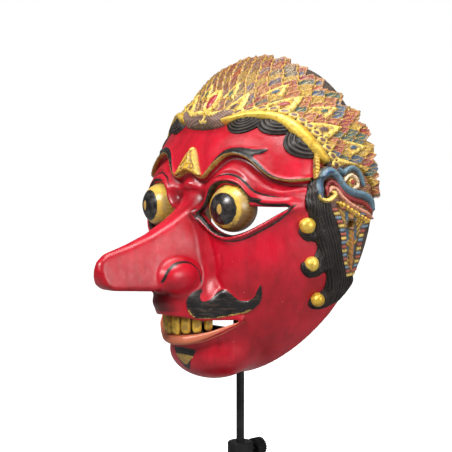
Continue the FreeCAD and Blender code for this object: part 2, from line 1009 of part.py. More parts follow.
def build_tube():
    tube = body("socket_tube")
    bore = "rod_diameter / 2 + running_gap"
    outside = "tube_diameter / 2"
    tap = "base_screw_diameter / 2 + running_gap"
    foot = "felt_thickness + base_thickness - seat_depth"
    tap_top = "felt_thickness + base_screw_length + 1.5"
    revolved(tube, [
        (tap, foot),
        (outside, foot),
        (outside, "tube_top - 0.6"),
        ("tube_diameter / 2 - 0.6", "tube_top"),
        ("rod_diameter / 2 + running_gap + 0.4", "tube_top"),
        (bore, "tube_top - 0.4"),
        (bore, "tube_floor"),
        ("0.6", "tube_floor - 1"),
        ("0.6", tap_top),
        (tap, tap_top),
    ], "tube_turning")
    screw = body("base_screw")
    shank = "base_screw_diameter / 2"
    slope = "felt_thickness + base_screw_head / 2 - base_screw_diameter / 2"
    revolved(screw, [
        ("1.6", "felt_thickness + 0.05"),
        ("base_screw_head / 2", "felt_thickness + 0.05"),
        (shank, slope),
        (shank, "felt_thickness + base_screw_length - 0.5"),
        ("base_screw_diameter / 2 - 0.5", "felt_thickness + base_screw_length"),
        ("0", "felt_thickness + base_screw_length"),
        ("0", "felt_thickness + 2"),
        ("1.6", "felt_thickness + 2"),
    ], "screw_turning")


def build_collar():
    collar = body("stop_collar")
    outside = "collar_diameter / 2"
    bore = "rod_diameter / 2 + running_gap"
    bevel = "collar_diameter / 2 - collar_edge"
    revolved(collar, [
        (bore, "tube_top"),
        (bevel, "tube_top"),
        (outside, "tube_top + collar_edge"),
        (outside, "tube_top + collar_height - collar_edge"),
        (bevel, "tube_top + collar_height"),
        (bore, "tube_top + collar_height"),
    ], "collar_turning")
    hole = sketch_on(collar, "XZ_Plane", "thumb_hole_outline")
    hole.setExpression("AttachmentOffset.Base.y", cell("tube_top + collar_height / 2"))
    add_circle(hole, "thumb_screw_diameter / 2 + running_gap")
    pocket(collar, hole, "collar_diameter", "thumb_hole")

    shank = cylinder(
        "thumb_shank",
        "thumb_screw_diameter / 2",
        "collar_diameter / 2 - rod_diameter / 2 - thumb_screw_gap + 4",
        y="rod_diameter / 2 + thumb_screw_gap",
        z="tube_top + collar_height / 2",
        rotation=Rotation(Vector(1, 0, 0), -90),
    )
    knob = cylinder(
        "thumb_knob",
        "knob_diameter / 2",
        "knob_length",
        y="collar_diameter / 2 + 3",
        z="tube_top + collar_height / 2",
        rotation=Rotation(Vector(1, 0, 0), -90),
    )
    grooves = []
    count = 24
    for index in range(count):
        turn = 2 * math.pi * index / count
        groove = cylinder(
            "knob_groove",
            "0.5",
            "knob_length",
            x=f"knob_diameter / 2 * {math.sin(turn):.6f}",
            y="collar_diameter / 2 + 3",
            z=f"tube_top + collar_height / 2 + knob_diameter / 2 * {math.cos(turn):.6f}",
            rotation=Rotation(Vector(1, 0, 0), -90),
        )
        grooves.append(groove)
    knurled = cut("knob_knurled", knob, fuse("knob_grooves", *grooves))
    keep(fuse("thumb_screw", shank, knurled), "collar_screw")


def build_rod():
    rod = body("upright_rod")
    radius = "rod_diameter / 2"
    bevel = "rod_diameter / 2 - 0.5"
    top = "chin_height + rod_top_level"
    revolved(rod, [
        ("0", "rod_foot"),
        (bevel, "rod_foot"),
        (radius, "rod_foot + 0.5"),
        (radius, "chin_height + rod_top_level - 0.5"),
        (bevel, top),
        ("0", top),
    ], "rod_turning")


def bracket_screws(name):
    """Two screws each side, driven outward into the jaw's wall."""
    left = []
    for y, height, seat in (("-3", "21.5", "24.0"), ("-1", "26.5", "29.8")):
        where = {"y": y, "z": level(height), "rotation": Rotation(Vector(0, 1, 0), 90)}
        radius = "bracket_screw_diameter / 2"
        shank = cylinder(f"{name}_shank", radius, "bracket_screw_length", x=seat, **where)
        rear = f"{seat} - bracket_screw_head_height"
        cap = cylinder(f"{name}_cap", "bracket_screw_head / 2", "bracket_screw_head_height", x=rear, **where)
        left.append(fuse(f"{name}_screw", shank, cap))
    row = group(f"{name}_left", *left)
    return group(name, row, mirrored(f"{name}_right", row))


def build_bracket():
    socket = body("bracket_socket")
    bore = "rod_diameter / 2 + running_gap"
    outside = "socket_diameter / 2"
    low = "chin_height + socket_floor"
    high = "chin_height + socket_crown"
    end = "chin_height + socket_end"
    revolved(socket, [
        (bore, low),
        (outside, low),
        (outside, "chin_height + socket_crown - 0.6"),
        ("socket_diameter / 2 - 0.6", high),
        ("0", high),
        ("0", end),
        (bore, end),
    ], "socket_turning")
    inside = -size("wall")
    strip = box(
        "bracket_strip",
        "2 * half_width",
        "bracket_strip",
        "bracket_height",
        x="0 - half_width",
        y="bracket_front",
        z=level("bracket_floor"),
    )
    tab_zone = box(
        "bracket_tab_zone",
        "2 * half_width",
        "bracket_back - bracket_front",
        "bracket_height",
        x="0 - half_width",
        y="bracket_front",
        z=level("bracket_floor"),
    )
    core = head("bracket_core", inside - size("bracket_thickness"))
    wall_skin = cut("bracket_skin", head("bracket_form", inside), core)
    crossbar = common("bracket_crossbar", head("bracket_reach", inside), strip)
    tabs = common("bracket_tabs", wall_skin, tab_zone)
    blank = fuse("bracket_blank", crossbar, tabs)
    socket_space = cylinder("bracket_notch", "socket_diameter / 2", "socket_crown", z="chin_height")
    notched = cut("bracket_notched", blank, socket_space)
    screws = bracket_screws("bracket_screws")
    keep(cut("bracket_bent", notched, screws), "jaw_bracket")
    keep(screws, "bracket_screws")


# ---------------------------------------------------------------- build and write

def check_and_write():
    doc.recompute()
    faults = []
    for obj in doc.Objects:
        if "Invalid" in obj.State or "Error" in obj.State:
            faults.append(f"{obj.Name}: {obj.State}")
    for obj in nodes:
        if obj.Shape.isNull() or not obj.Shape.isValid() or not obj.Shape.Solids:
            faults.append(f"{obj.Label}: no valid solid")
    if faults:
        raise RuntimeError("; ".join(faults))
    os.makedirs("parts", exist_ok=True)
    for obj in nodes:
        obj.Shape.exportStep(f"parts/{obj.Label}.step")


fill_sheet()
outer_face, face_solid = build_face()
build_eyes()
build_nose(face_solid)
build_teeth()
band = build_crown(outer_face)
build_fringe(outer_face, band)
build_jewel(outer_face)
build_sides(outer_face)
build_base()
build_tube()
build_collar()
build_rod()
build_bracket()
check_and_write()
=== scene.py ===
import math

import bmesh
import bpy
import numpy as np
from mathutils import Matrix, Vector


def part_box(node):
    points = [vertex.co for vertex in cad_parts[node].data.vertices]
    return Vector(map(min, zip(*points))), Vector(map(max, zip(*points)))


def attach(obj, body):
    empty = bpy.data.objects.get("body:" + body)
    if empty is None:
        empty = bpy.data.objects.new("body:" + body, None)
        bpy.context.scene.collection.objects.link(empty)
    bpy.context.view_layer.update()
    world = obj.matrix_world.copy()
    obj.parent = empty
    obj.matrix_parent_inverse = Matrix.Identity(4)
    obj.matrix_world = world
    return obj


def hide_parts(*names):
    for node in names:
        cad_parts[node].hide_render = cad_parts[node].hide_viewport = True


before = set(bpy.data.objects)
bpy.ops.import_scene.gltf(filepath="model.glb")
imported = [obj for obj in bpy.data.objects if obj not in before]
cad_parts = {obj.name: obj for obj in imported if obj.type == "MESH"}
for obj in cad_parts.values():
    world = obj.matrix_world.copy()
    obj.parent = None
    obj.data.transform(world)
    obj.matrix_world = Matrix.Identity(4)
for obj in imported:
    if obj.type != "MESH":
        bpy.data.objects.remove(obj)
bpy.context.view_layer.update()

COARSENESS = 1.0

# ---------------------------------------------------------------- the mask's own frame, in mm
# X is to the side, Y runs from the front (negative) to the back, m is the height above the chin.
SHELL_LOW, SHELL_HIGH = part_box("face_shell")
CHIN = SHELL_LOW.z * 1000.0
BACK = SHELL_HIGH.y * 1000.0
HALF_WIDTH = SHELL_HIGH.x * 1000.0 - 1.0
HALF_DEPTH = 83.0
WIDEST = 105.0    # height of the widest level section
RISE = 90.0       # from there to the top
FULLNESS = 2.5    # 2 is an ellipse, more is squarer
WALL = 6.0
RIM_HEIGHTS = (0, 8, 16, 24, 42, 56, 66, 76, 88, 104)
RIM_DEPTHS = (-6, -0.5, 4.4, 9.4, 19.8, 26, 30.4, 33.6, 36.8, 40)
CORD_HEIGHT = 97.0


def smoothstep(low, high, value):
    t = np.clip((value - low) / (high - low), 0.0, 1.0)
    return t * t * (3.0 - 2.0 * t)


def smooth_min(a, b, k):
    h = np.clip(0.5 + 0.5 * (b - a) / k, 0.0, 1.0)
    return b + (a - b) * h - k * h * (1.0 - h)


def smooth_max(a, b, k):
    return -smooth_min(-a, -b, k)


def bell(value, width):
    """A smooth bump, 1 at value 0 and about `width` wide to either side."""
    return np.exp(-(value / width) ** 2)


def dome(share):
    """Height of a half-round section at this share of its half-width."""
    return np.sqrt(np.clip(1.0 - share ** 2, 0, 1))


def unit(vectors):
    return vectors / (np.linalg.norm(vectors, axis=-1, keepdims=True) + 1e-9)


def sections(m):
    """Half-width and half-depth of the mask's outer skin at height m."""
    v = m - WIDEST
    share = np.clip(np.where(v > 0, v / RISE, -v / WIDEST), 0.0, 0.9995)
    wide = np.sqrt(1.0 - share ** 2)
    deep = np.where(v > 0, wide, (1.0 - share ** 4) ** 0.25)
    return HALF_WIDTH * wide, HALF_DEPTH * deep


def fullness(m):
    """How square the level sections are: fuller at the cheeks than over the brow."""
    return FULLNESS - 0.35 * smoothstep(125.0, 165.0, m)


def rim_depth(m):
    """Y of the back rim, which sweeps forward under the ears to the chin."""
    return np.minimum(np.interp(m, RIM_HEIGHTS, RIM_DEPTHS), BACK)


def body_field(x, y, m):
    """Roughly the distance in mm outside the plain egg-shaped body of the mask."""
    wide, deep = sections(m)
    full = fullness(m)
    radius = ((np.abs(x) / wide) ** full + (np.abs(y - BACK) / deep) ** full + 1e-9) ** (1.0 / full)
    span = np.sqrt(x ** 2 + (y - BACK) ** 2) + 1e-3
    flat = span * (1.0 - 1.0 / np.maximum(radius, 0.05))
    v = m - WIDEST
    upper = np.clip(1.0 - (v / (RISE + 8.0)) ** 2, 0.02, 1)
    lower = np.clip(1.0 - (v / (WIDEST + 10.0)) ** 6, 0.02, 1)
    return flat * np.sqrt(np.where(v > 0, upper, lower))


def smooth_curve(points, closed=False, steps=6):
    """Catmull-Rom curve through the points."""
    p = np.array(points, float)
    if closed:
        p = np.vstack([p[-1], p, p[0], p[1]])
    else:
        p = np.vstack([2 * p[0] - p[1], p, 2 * p[-1] - p[-2]])
    out = []
    for a, b, c, d in zip(p[:-3], p[1:-2], p[2:-1], p[3:]):
        for t in np.arange(steps) / steps:
            out.append(0.5 * (2 * b + (c - a) * t + (2 * a - 5 * b + 4 * c - d) * t ** 2
                              + (3 * b - a - 3 * c + d) * t ** 3))
    if not closed:
        out.append(p[-2])
    return np.array(out)


def along(u, v, curve):
    """Distance from (u, v) to a curve, signed side offset and place 0..1 along it."""
    best = np.full(np.shape(u), 1e9)
    side = np.zeros(np.shape(u))
    place = np.zeros(np.shape(u))
    lengths = np.hypot(*(curve[1:] - curve[:-1]).T)
    total = lengths.sum()
    start = 0.0
    for a, b, length in zip(curve[:-1], curve[1:], lengths):
        dx, dy = (b - a) / max(length, 1e-9)
        t = np.clip((u - a[0]) * dx + (v - a[1]) * dy, 0.0, length)
        ex, ey = u - a[0] - dx * t, v - a[1] - dy * t
        gap = np.hypot(ex, ey)
        nearer = gap < best
        best = np.where(nearer, gap, best)
        side = np.where(nearer, dx * ey - dy * ex, side)
        place = np.where(nearer, (start + t) / total, place)
        start += length
    return best, side, place


def inside(u, v, loop):
    """Signed distance to a closed loop, negative inside."""
    ring = np.vstack([loop, loop[:1]])
    gap = along(u, v, ring)[0]
    odd = np.zeros(np.shape(u), bool)
    for a, b in zip(ring[:-1], ring[1:]):
        crosses = ((a[1] > v) != (b[1] > v))
        at = a[0] + (v - a[1]) * (b[0] - a[0]) / (b[1] - a[1] if b[1] != a[1] else 1e-9)
        odd ^= crosses & (u < at)
    return np.where(odd, -gap, gap)

# ---------------------------------------------------------------- outlines drawn on the face, (X, m)
BROW_STEP = smooth_curve([
    (-4, 126.2), (0, 127), (4, 126), (9, 123.6), (12.5, 123.8), (16.5, 127), (21, 132.5), (25.5, 136.5),
    (30.5, 137.8), (35.5, 136.8), (40.5, 134.5), (45, 131), (49, 127.6), (53, 124.4), (57, 122.8),
    (61, 122), (66, 123), (74, 126)])
BROW = smooth_curve([
    (12.5, 124.5), (15.5, 128.6), (19, 134.4), (22.3, 138.6), (26.5, 141.2), (31.5, 142.1), (37, 141.8),
    (42, 141), (47.8, 141), (46.5, 138.4), (42.2, 137.2), (45.5, 134), (49, 130.6), (53.3, 126.6),
    (57.5, 124.4), (61.5, 123.7), (67, 124.4), (66, 122.8), (60, 121.8), (55, 123.1), (48.9, 127.6),
    (43.4, 132.2), (38, 135.8), (31, 137.2), (25.6, 136), (21, 132.2), (16.6, 126.6)], True, 4)
EYE = smooth_curve([
    (10.8, 102.8), (15.4, 106.4), (18.4, 111), (20.6, 116.6), (24, 120.2), (29, 121.6), (34.4, 121.2),
    (39, 119.4), (43.4, 115), (46.6, 111.4), (50.4, 109), (56, 108.3), (61.4, 107.9), (56.2, 103),
    (50, 98), (42, 93), (33, 90.6), (25, 92.2), (18.6, 96), (13.5, 100.4)], True, 4)
UPPER_CREASE = smooth_curve([
    (16.4, 118.5), (21.4, 123.8), (26.8, 126), (31, 126.3), (37, 124.8), (42.2, 121.4), (46, 117.4),
    (49.6, 115), (54.4, 113.6), (59.5, 113.2), (62.6, 115.6)])
LOWER_CREASE = smooth_curve([
    (8.8, 102.6), (12.4, 98.2), (16.8, 94.2), (24.8, 89.4), (34, 87.4), (42, 88.6), (49, 92.6),
    (55.8, 97.8), (61, 103.4), (64, 108.8)])
MOUSTACHE = smooth_curve([
    (16.4, 58.8), (14.2, 53.5), (14.4, 48), (15.4, 44.4), (17.4, 41.8), (21, 41.2), (26, 41.4),
    (31, 42.6), (37.6, 44.6), (42.7, 48.4), (46, 53), (47.4, 57.6), (48.2, 62.6), (45.6, 58.4),
    (43.2, 54.4), (39.6, 52), (35.3, 52.4), (32.3, 55.2), (29.5, 57.6), (26.8, 58.2), (24, 56.6),
    (22, 52.4), (19.4, 51.4), (17.6, 54)], True, 4)
MOUTH = smooth_curve([
    (0, 42.6), (8, 42), (14, 41.2), (20, 39.8), (27, 39.8), (34.5, 39.9), (29, 36.8), (22, 33.6),
    (14, 31.4), (7, 30.6), (0, 30.4)])
UPPER_LIP = smooth_curve([(0, 45.4), (6, 45), (12, 43.8), (17, 42.4), (21, 41.6), (28, 41.6), (35, 41.2)])
LOWER_LIP = smooth_curve([(0, 27.4), (7, 27.6), (12, 28.6), (17, 30.4), (22, 32.8), (27, 35.4), (34, 39.2)])
CHIN_TUFT = smooth_curve([
    (0, 21.8), (5.5, 21.4), (9.8, 20.8), (6, 14.6), (0, 7.6), (-6, 14.6), (-9.8, 20.8),
    (-5.5, 21.4)], True, 4)
NOSTRIL = smooth_curve([
    (-74.5, 64), (-72.4, 69.6), (-68, 73.2), (-63, 74.8), (-56.5, 74.6), (-51.6, 72), (-48, 68),
    (-46.5, 62)])
MOUTH_CORNER = smooth_curve([(21, 39.4), (25, 39.9), (29.6, 39.4), (26.5, 37.2), (22.5, 36)], True)
CHEEK_FOLD = smooth_curve([(15.5, 92), (18.5, 82), (20.5, 74), (21, 66), (24, 60)])
LIP_GROOVE = smooth_curve([(14.0, 58.8), (9, 53.6), (6.5, 48), (2.0, 44.5)])
UPPER_LIP_DEPTHS = (-61.0, -57.0, -50.0, -42.0, -33.0)
LOWER_LIP_DEPTHS = (-55.6, -52.6, -47.0, -41.0, -33.5)

# ---------------------------------------------------------------- the carved face as a distance field
# (Y, m) along the top of the nose, and (m, Y) down its tip
RIDGE = np.array([(-112.5, 79.0), (-108.0, 81.6), (-100.0, 83.6), (-90.0, 86.4), (-75.0, 91.5),
                  (-60.0, 98.8), (-46.0, 107.5), (-30.0, 122.0)])
NOSE_TIP = np.array([(55.0, -100.0), (60.0, -106.5), (64.0, -110.8), (68.0, -112.8), (72.0, -113.4),
                     (77.0, -112.8), (82.0, -109.0)])
EYE_CENTRE = np.array([31.1, -35.2, 106.4])
EYE_RADIUS = 14.2
LID_RADIUS = EYE_RADIUS + 0.8
EYE_LEDGE = -40.5        # Y to which the wall above the eye slit is cut away
EYE_SLIT_BACK = 20.0     # and below it
MOUTH_BACK = -30.0
CORD_HOLE = (71.3, 19.5)        # X and Y of its middle in the side wall
CORD_SLANT = (0.208, 0.978)     # level direction along the wall there
CORD_RADIUS = 2.1
# ellipsoids: the centre, then the radii
MUZZLE = (0.0, -22.0, 44.0), (30.0, 39.0, 23.0)
PHILTRUM = (0.0, -48.0, 50.5), (15.0, 20.0, 10.0)
CHIN_BALL = (0.0, -24.0, 18.0), (29.0, 23.4, 17.4)
NOSE_WING = (10.5, -60.5, 66.5), (8.4, 14.5, 9.6)
NOSTRIL_HOLE = (7.2, -70.0, 57.0), (3.6, 7.5, 6.5)
# rises and hollows: height, then (|X|, m) of the middle and the half-widths
INNER_EYE_HOLLOW = -3.4, (9.5, 113.0), (6.0, 7.0)
BRIDGE_KNOB = 2.6, (0.0, 121.5), (7.0, 4.6)
BRIDGE_CREASE = -1.2, (0.0, 115.5), (9.0, 1.3)
CHEEK = 3.4, (45.0, 74.0), (17.0, 17.0)


def ellipsoid(x, y, m, centre, radii):
    p = [(c - o) / r for c, o, r in zip((x, y, m), centre, radii)]
    k0 = np.sqrt(p[0] ** 2 + p[1] ** 2 + p[2] ** 2) + 1e-6
    k1 = np.sqrt((p[0] / radii[0]) ** 2 + (p[1] / radii[1]) ** 2 + (p[2] / radii[2]) ** 2) + 1e-6
    return k0 * (k0 - 1.0) / k1


def swelling(x, m):
    """How far the carving stands out of the plain egg shape, in mm, for the two halves alike."""
    ax = np.abs(x)
    gap, side, _ = along(ax, m, BROW_STEP)
    above = np.where(side > 0, gap, -gap)
    fade = 1.0 - smoothstep(64.0, 72.0, ax)
    out = 2.4 * smoothstep(-0.7, 0.9, above) * (1.0 - smoothstep(10.0, 34.0, above)) * fade
    for height, place, width in ((1.0, 0.9, 1.1), (-1.5, -2.6, 2.2), (0.9, -6.5, 2.6)):
        out += height * bell(above - place, width) * fade
    out += 0.8 * smoothstep(0.5, -0.9, inside(ax, m, BROW))
    eye = inside(ax, m, EYE)
    out += 1.9 * smoothstep(0.3, 1.4, eye) * (1.0 - smoothstep(2.6, 5.8, eye))
    out += 2.0 * bell(eye, 7.0)
    gap, side, place = along(ax, m, UPPER_CREASE)
    out -= 0.9 * bell(gap, 0.9) * smoothstep(0.0, 0.12, place) * smoothstep(1.0, 0.85, place)
    out += 0.7 * bell(side - 2.4, 2.0) * (gap < 8)
    for height, middle, widths in (INNER_EYE_HOLLOW, BRIDGE_KNOB, BRIDGE_CREASE, CHEEK):
        out += height * bell(ax - middle[0], widths[0]) * bell(m - middle[1], widths[1])
    for depth, curve, width in ((0.7, LOWER_CREASE, 0.8), (1.8, CHEEK_FOLD, 2.2), (1.1, LIP_GROOVE, 1.3)):
        out -= depth * bell(along(ax, m, curve)[0], width)
    out += 1.5 * smoothstep(0.6, -1.4, inside(ax, m, MOUSTACHE))
    out += 1.0 * smoothstep(0.5, -0.9, inside(x, m, CHIN_TUFT))
    return out


def nose_field(x, y, m):
    """The long nose: a roof along its ridge, leaning walls, a flat underside and a rounded tip."""
    ax = np.abs(x)
    top = np.interp(y, *RIDGE.T).astype(np.float32)
    tip = np.interp(m, *NOSE_TIP.T)
    under = 57.0 + (-60.0 - y) * 0.075
    drop = np.clip(top - m, 0.0, 43.0)
    flare = 2.0 + 0.31 * drop - 0.0036 * drop ** 2 + 0.075 * np.clip(y + 108.0, 0.0, 70.0)
    flare = flare + 3.2 * bell(y + 60.0, 11.0) * bell(m - 67.0, 8.5)
    field = smooth_max((m - top) * 0.9, (ax - flare) * 0.97, 3.6)
    field = smooth_max(field, under - m, 3.2)
    field = smooth_max(field, tip - y, 4.2)
    return smooth_max(field, -ellipsoid(ax, y, m, *NOSTRIL_HOLE), 1.6)


def tube(x, y, m, curve, depths, radius):
    """A soft roll of clay along a curve (|X|, m) whose centre lies at the given depths."""
    gap, _, place = along(np.abs(x[:, 0, :]), m[:, 0, :], curve)
    depth = np.interp(place, np.linspace(0, 1, len(depths)), depths)
    size = np.interp(place, (0.0, 0.75, 1.0), (radius, radius * 0.85, radius * 0.4))
    return np.sqrt(gap[:, None, :] ** 2 + (y - depth[:, None, :]) ** 2) - size[:, None, :]


def face_field(x, y, m):
    """Roughly the distance outside the hollow mask, with its nose, lips and every opening."""
    flat_x, flat_m = x[:, 0, :], m[:, 0, :]
    ax = np.abs(x)
    body = body_field(x, y, m)
    muzzle = ellipsoid(x, y, m, *MUZZLE)
    chin = ellipsoid(x, y, m, *CHIN_BALL)
    socket = np.sqrt((ax - EYE_CENTRE[0]) ** 2 + (y - EYE_CENTRE[1]) ** 2 + (m - EYE_CENTRE[2]) ** 2)
    nose = smooth_min(nose_field(x, y, m), ellipsoid(ax, y, m, *NOSE_WING), 3.0)

    lift = swelling(flat_x, flat_m)[:, None, :].astype(np.float32)
    outer = body - lift * smoothstep(16.0, -2.0, y)
    outer = smooth_min(outer, muzzle, 9.0)
    outer = smooth_min(outer, ellipsoid(x, y, m, *PHILTRUM), 6.0)
    outer = smooth_min(outer, chin, 9.0)
    outer = smooth_min(outer, socket - LID_RADIUS, 5.0)
    outer = smooth_min(outer, nose, 5.5)
    outer = smooth_min(outer, tube(x, y, m, UPPER_LIP, UPPER_LIP_DEPTHS, 3.0), 4.0)
    outer = smooth_min(outer, tube(x, y, m, LOWER_LIP, LOWER_LIP_DEPTHS, 3.3), 3.2)
    slit = inside(flat_x, flat_m, np.vstack([MOUTH, MOUTH[::-1] * (-1, 1)]))[:, None, :]
    outer = smooth_max(outer, -smooth_max(slit, y - MOUTH_BACK, 1.0), 1.6)

    wall = WALL - 2.8 * bell(socket - EYE_RADIUS, 9.0)
    cavity = smooth_min(body + wall, muzzle + 6.5, 8.0)
    cavity = smooth_min(cavity, chin + 6.0, 6.0)
    shell = smooth_max(outer, -cavity, 1.2)
    corner = inside(np.abs(flat_x), flat_m, MOUTH_CORNER)[:, None, :]
    shell = smooth_max(shell, -corner, 0.8)
    eye = inside(np.abs(flat_x), flat_m, EYE)[:, None, :]
    ledge = EYE_LEDGE + 4.0 * smoothstep(34.0, 42.0, ax)
    through = EYE_SLIT_BACK + (ledge - EYE_SLIT_BACK) * np.clip((m - 105.5) / 2.5, 0.0, 1.0)
    shell = smooth_max(shell, -np.maximum(eye, y - through), 0.9)
    shell = np.maximum(shell, EYE_RADIUS + 0.25 - socket)
    lean = (ax - CORD_HOLE[0]) * CORD_SLANT[0] + (y - CORD_HOLE[1]) * CORD_SLANT[1]
    cord_hole = np.where(ax > 45.0, np.hypot(lean, m - CORD_HEIGHT) - CORD_RADIUS, 9.0)
    shell = np.maximum(shell, -cord_hole)
    shell = smooth_max(shell, 0.92 * (y - rim_depth(m)), 1.2)
    shell = smooth_max(shell, m - (WIDEST + RISE - 0.3), 0.8)
    return smooth_max(shell, 0.4 - m, 0.8)


def surface_net(field, origin, step):
    """Vertices and quads of the field's zero level.

    Each grid cell that the surface passes through gets one vertex, at the mean of the places where
    its edges cross zero, and each grid edge that crosses zero gets a quad of its four cells.
    """
    low = field < 0
    count = np.zeros(np.array(field.shape) - 1, np.int8)
    corners = [(i, j, k) for i in (0, 1) for j in (0, 1) for k in (0, 1)]
    nx, ny, nz = count.shape
    for i, j, k in corners:
        count += low[i:nx + i, j:ny + j, k:nz + k]
    active = (count > 0) & (count < 8)
    cells = np.argwhere(active)
    index = np.full(active.shape, -1, np.int32)
    index[tuple(cells.T)] = np.arange(len(cells))
    total = np.zeros((len(cells), 3))
    hits = np.zeros(len(cells))
    values = {c: field[tuple((cells + c).T)] for c in corners}
    for c in corners:
        for axis in range(3):
            if c[axis]:
                continue
            d = list(c)
            d[axis] = 1
            a, b = values[c], values[tuple(d)]
            cross = (a < 0) != (b < 0)
            t = a[cross] / (a[cross] - b[cross])
            spot = np.tile(np.array(c, float), (cross.sum(), 1))
            spot[:, axis] += t
            total[cross] += spot
            hits[cross] += 1
    local = total / hits[:, None]
    vertices = origin + step * (cells + local)
    quads = []
    for axis in range(3):
        b, c = (axis + 1) % 3, (axis + 2) % 3
        first = [slice(1, -1)] * 3
        second = list(first)
        first[axis] = slice(0, -1)
        second[axis] = slice(1, None)
        edge = low[tuple(first)] != low[tuple(second)]
        spots = np.argwhere(edge) + [0 if n == axis else 1 for n in range(3)]
        turned = ~low[tuple(spots.T)]
        one = np.eye(3, dtype=int)
        ring = [spots, spots - one[b], spots - one[b] - one[c], spots - one[c]]
        quad = np.stack([index[tuple(r.T)] for r in ring], 1)
        quad[turned] = quad[turned][:, ::-1]
        quads.append(quad)
    quads = np.vstack(quads)
    quads = quads[(quads >= 0).all(1)]
    return vertices, quads


def sample(field, origin, step, points):
    """Trilinear reading of the field at the points."""
    p = (points - origin) / step
    cell = np.clip(np.floor(p).astype(int), 0, np.array(field.shape) - 2)
    share = p - cell
    out = np.zeros(len(points))
    for corner in np.ndindex(2, 2, 2):
        weight = np.where(corner, share, 1 - share).prod(1)
        out += weight * field[tuple((cell + corner).T)]
    return out


def slope(field, origin, step, points, reach):
    """Unit gradient of the field at the points, read over `reach` grid steps to either side."""
    moves = reach * step * np.eye(3)
    ahead = np.stack([sample(field, origin, step, points + move) for move in moves], 1)
    behind = np.stack([sample(field, origin, step, points - move) for move in moves], 1)
    return unit(ahead - behind)


# ---------------------------------------------------------------- making objects
def to_frame(points):
    return (np.asarray(points, float) + (0.0, 0.0, CHIN)) * 0.001


def linked_object(name, mesh):
    obj = bpy.data.objects.new(name, mesh)
    bpy.context.scene.collection.objects.link(obj)
    return obj


def mesh_object(name, vertices, faces, attributes=None, colours=None, normals=None):
    if isinstance(faces, np.ndarray):
        faces = faces.tolist()
    mesh = bpy.data.meshes.new(name)
    mesh.from_pydata(to_frame(vertices).tolist(), [], faces)
    mesh.update()
    mesh.shade_smooth()
    for key, values in (attributes or {}).items():
        layer = mesh.attributes.new(key, "FLOAT", "POINT")
        layer.data.foreach_set("value", np.asarray(values, np.float32))
    if colours is not None:
        layer = mesh.attributes.new("paint", "FLOAT_COLOR", "POINT")
        rgba = np.ones((len(vertices), 4), np.float32)
        rgba[:, :3] = colours
        layer.data.foreach_set("color", rgba.ravel())
    if normals is not None:
        mesh.normals_split_custom_set_from_vertices(normals.tolist())
    return linked_object(name, mesh)


def finish_piece(obj, material, node):
    """Paint a piece of the mask and let it stand for its CAD node."""
    obj.data.materials.append(material)
    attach(obj, "mask")
    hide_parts(node)


# ---------------------------------------------------------------- materials
class Shader:
    """Small helper that wires procedural materials."""

    def __init__(self, name):
        self.material = bpy.data.materials.new(name)
        self.material.use_nodes = True
        self.tree = self.material.node_tree
        self.surface = self.tree.nodes["Principled BSDF"]
        self.coords = self.tree.nodes.new("ShaderNodeTexCoord").outputs["Object"]

    def put(self, socket, value):
        if isinstance(value, bpy.types.NodeSocket):
            self.tree.links.new(value, socket)
        elif isinstance(value, (tuple, list)) and len(value) == 3 and socket.type == "RGBA":
            socket.default_value = (*value, 1.0)
        else:
            socket.default_value = value

    def set(self, **inputs):
        for key, value in inputs.items():
            self.put(self.surface.inputs[key.replace("_", " ")], value)

    def add(self, kind, output, inputs, **settings):
        """Make a node, set it up and return one of its outputs."""
        node = self.tree.nodes.new("ShaderNode" + kind)
        for key, value in settings.items():
            setattr(node, key, value)
        for key, value in inputs.items():
            self.put(node.inputs[key], value)
        return node.outputs[output]

    def stretch(self, x, y, z):
        return self.add("Mapping", "Vector", {"Vector": self.coords, "Scale": (x, y, z)})

    def noise(self, scale, detail=4.0, rough=0.55, vector=None, warp=0.0):
        return self.add("TexNoise", "Fac", {"Vector": vector or self.coords, "Scale": scale,
                                            "Detail": detail, "Roughness": rough, "Distortion": warp})

    def read(self, name, output="Fac"):
        """A value that the mesh holds at each point."""
        return self.add("Attribute", output, {}, attribute_name=name)

    def calc(self, kind, a, b):
        return self.add("Math", 0, {0: a, 1: b}, operation=kind)

    def fit(self, value, low, high, out_low=0.0, out_high=1.0):
        """Smooth step of the value from low to high, which may run downward."""
        limits = dict(enumerate((value, low, high, out_low, out_high)))
        return self.add("MapRange", "Result", limits, interpolation_type="SMOOTHSTEP")

    def mix(self, share, a, b):
        return self.add("Mix", 2, {0: share, 6: a, 7: b}, data_type="RGBA", clamp_factor=True)

    def bump(self, height, strength, distance, normal=None):
        inputs = {"Strength": strength, "Distance": distance, "Height": height}
        if normal is not None:
            inputs["Normal"] = normal
        return self.add("Bump", "Normal", inputs)


RED = (0.40, 0.002, 0.012)
LIGHT_RED = (0.56, 0.005, 0.024)
DARK_RED = (0.12, 0.001, 0.004)
GOLD = (0.66, 0.41, 0.035)
DEEP_GOLD = (0.32, 0.16, 0.02)
BLACK = (0.007, 0.006, 0.006)
BROWN = (0.038, 0.024, 0.017)
SALMON = (0.56, 0.15, 0.075)
BARE = (0.19, 0.115, 0.062)


def gold_colour(s, dirt):
    """Aged gold leaf: worn, with brown showing in the low spots."""
    wear = s.noise(420.0, 6.0, 0.62)
    leaf = s.mix(s.fit(s.noise(90.0, 3.0), 0.35, 0.65), GOLD, (0.76, 0.52, 0.09))
    return s.mix(s.calc("MULTIPLY", s.fit(wear, 0.50, 0.66), dirt), leaf, DEEP_GOLD)


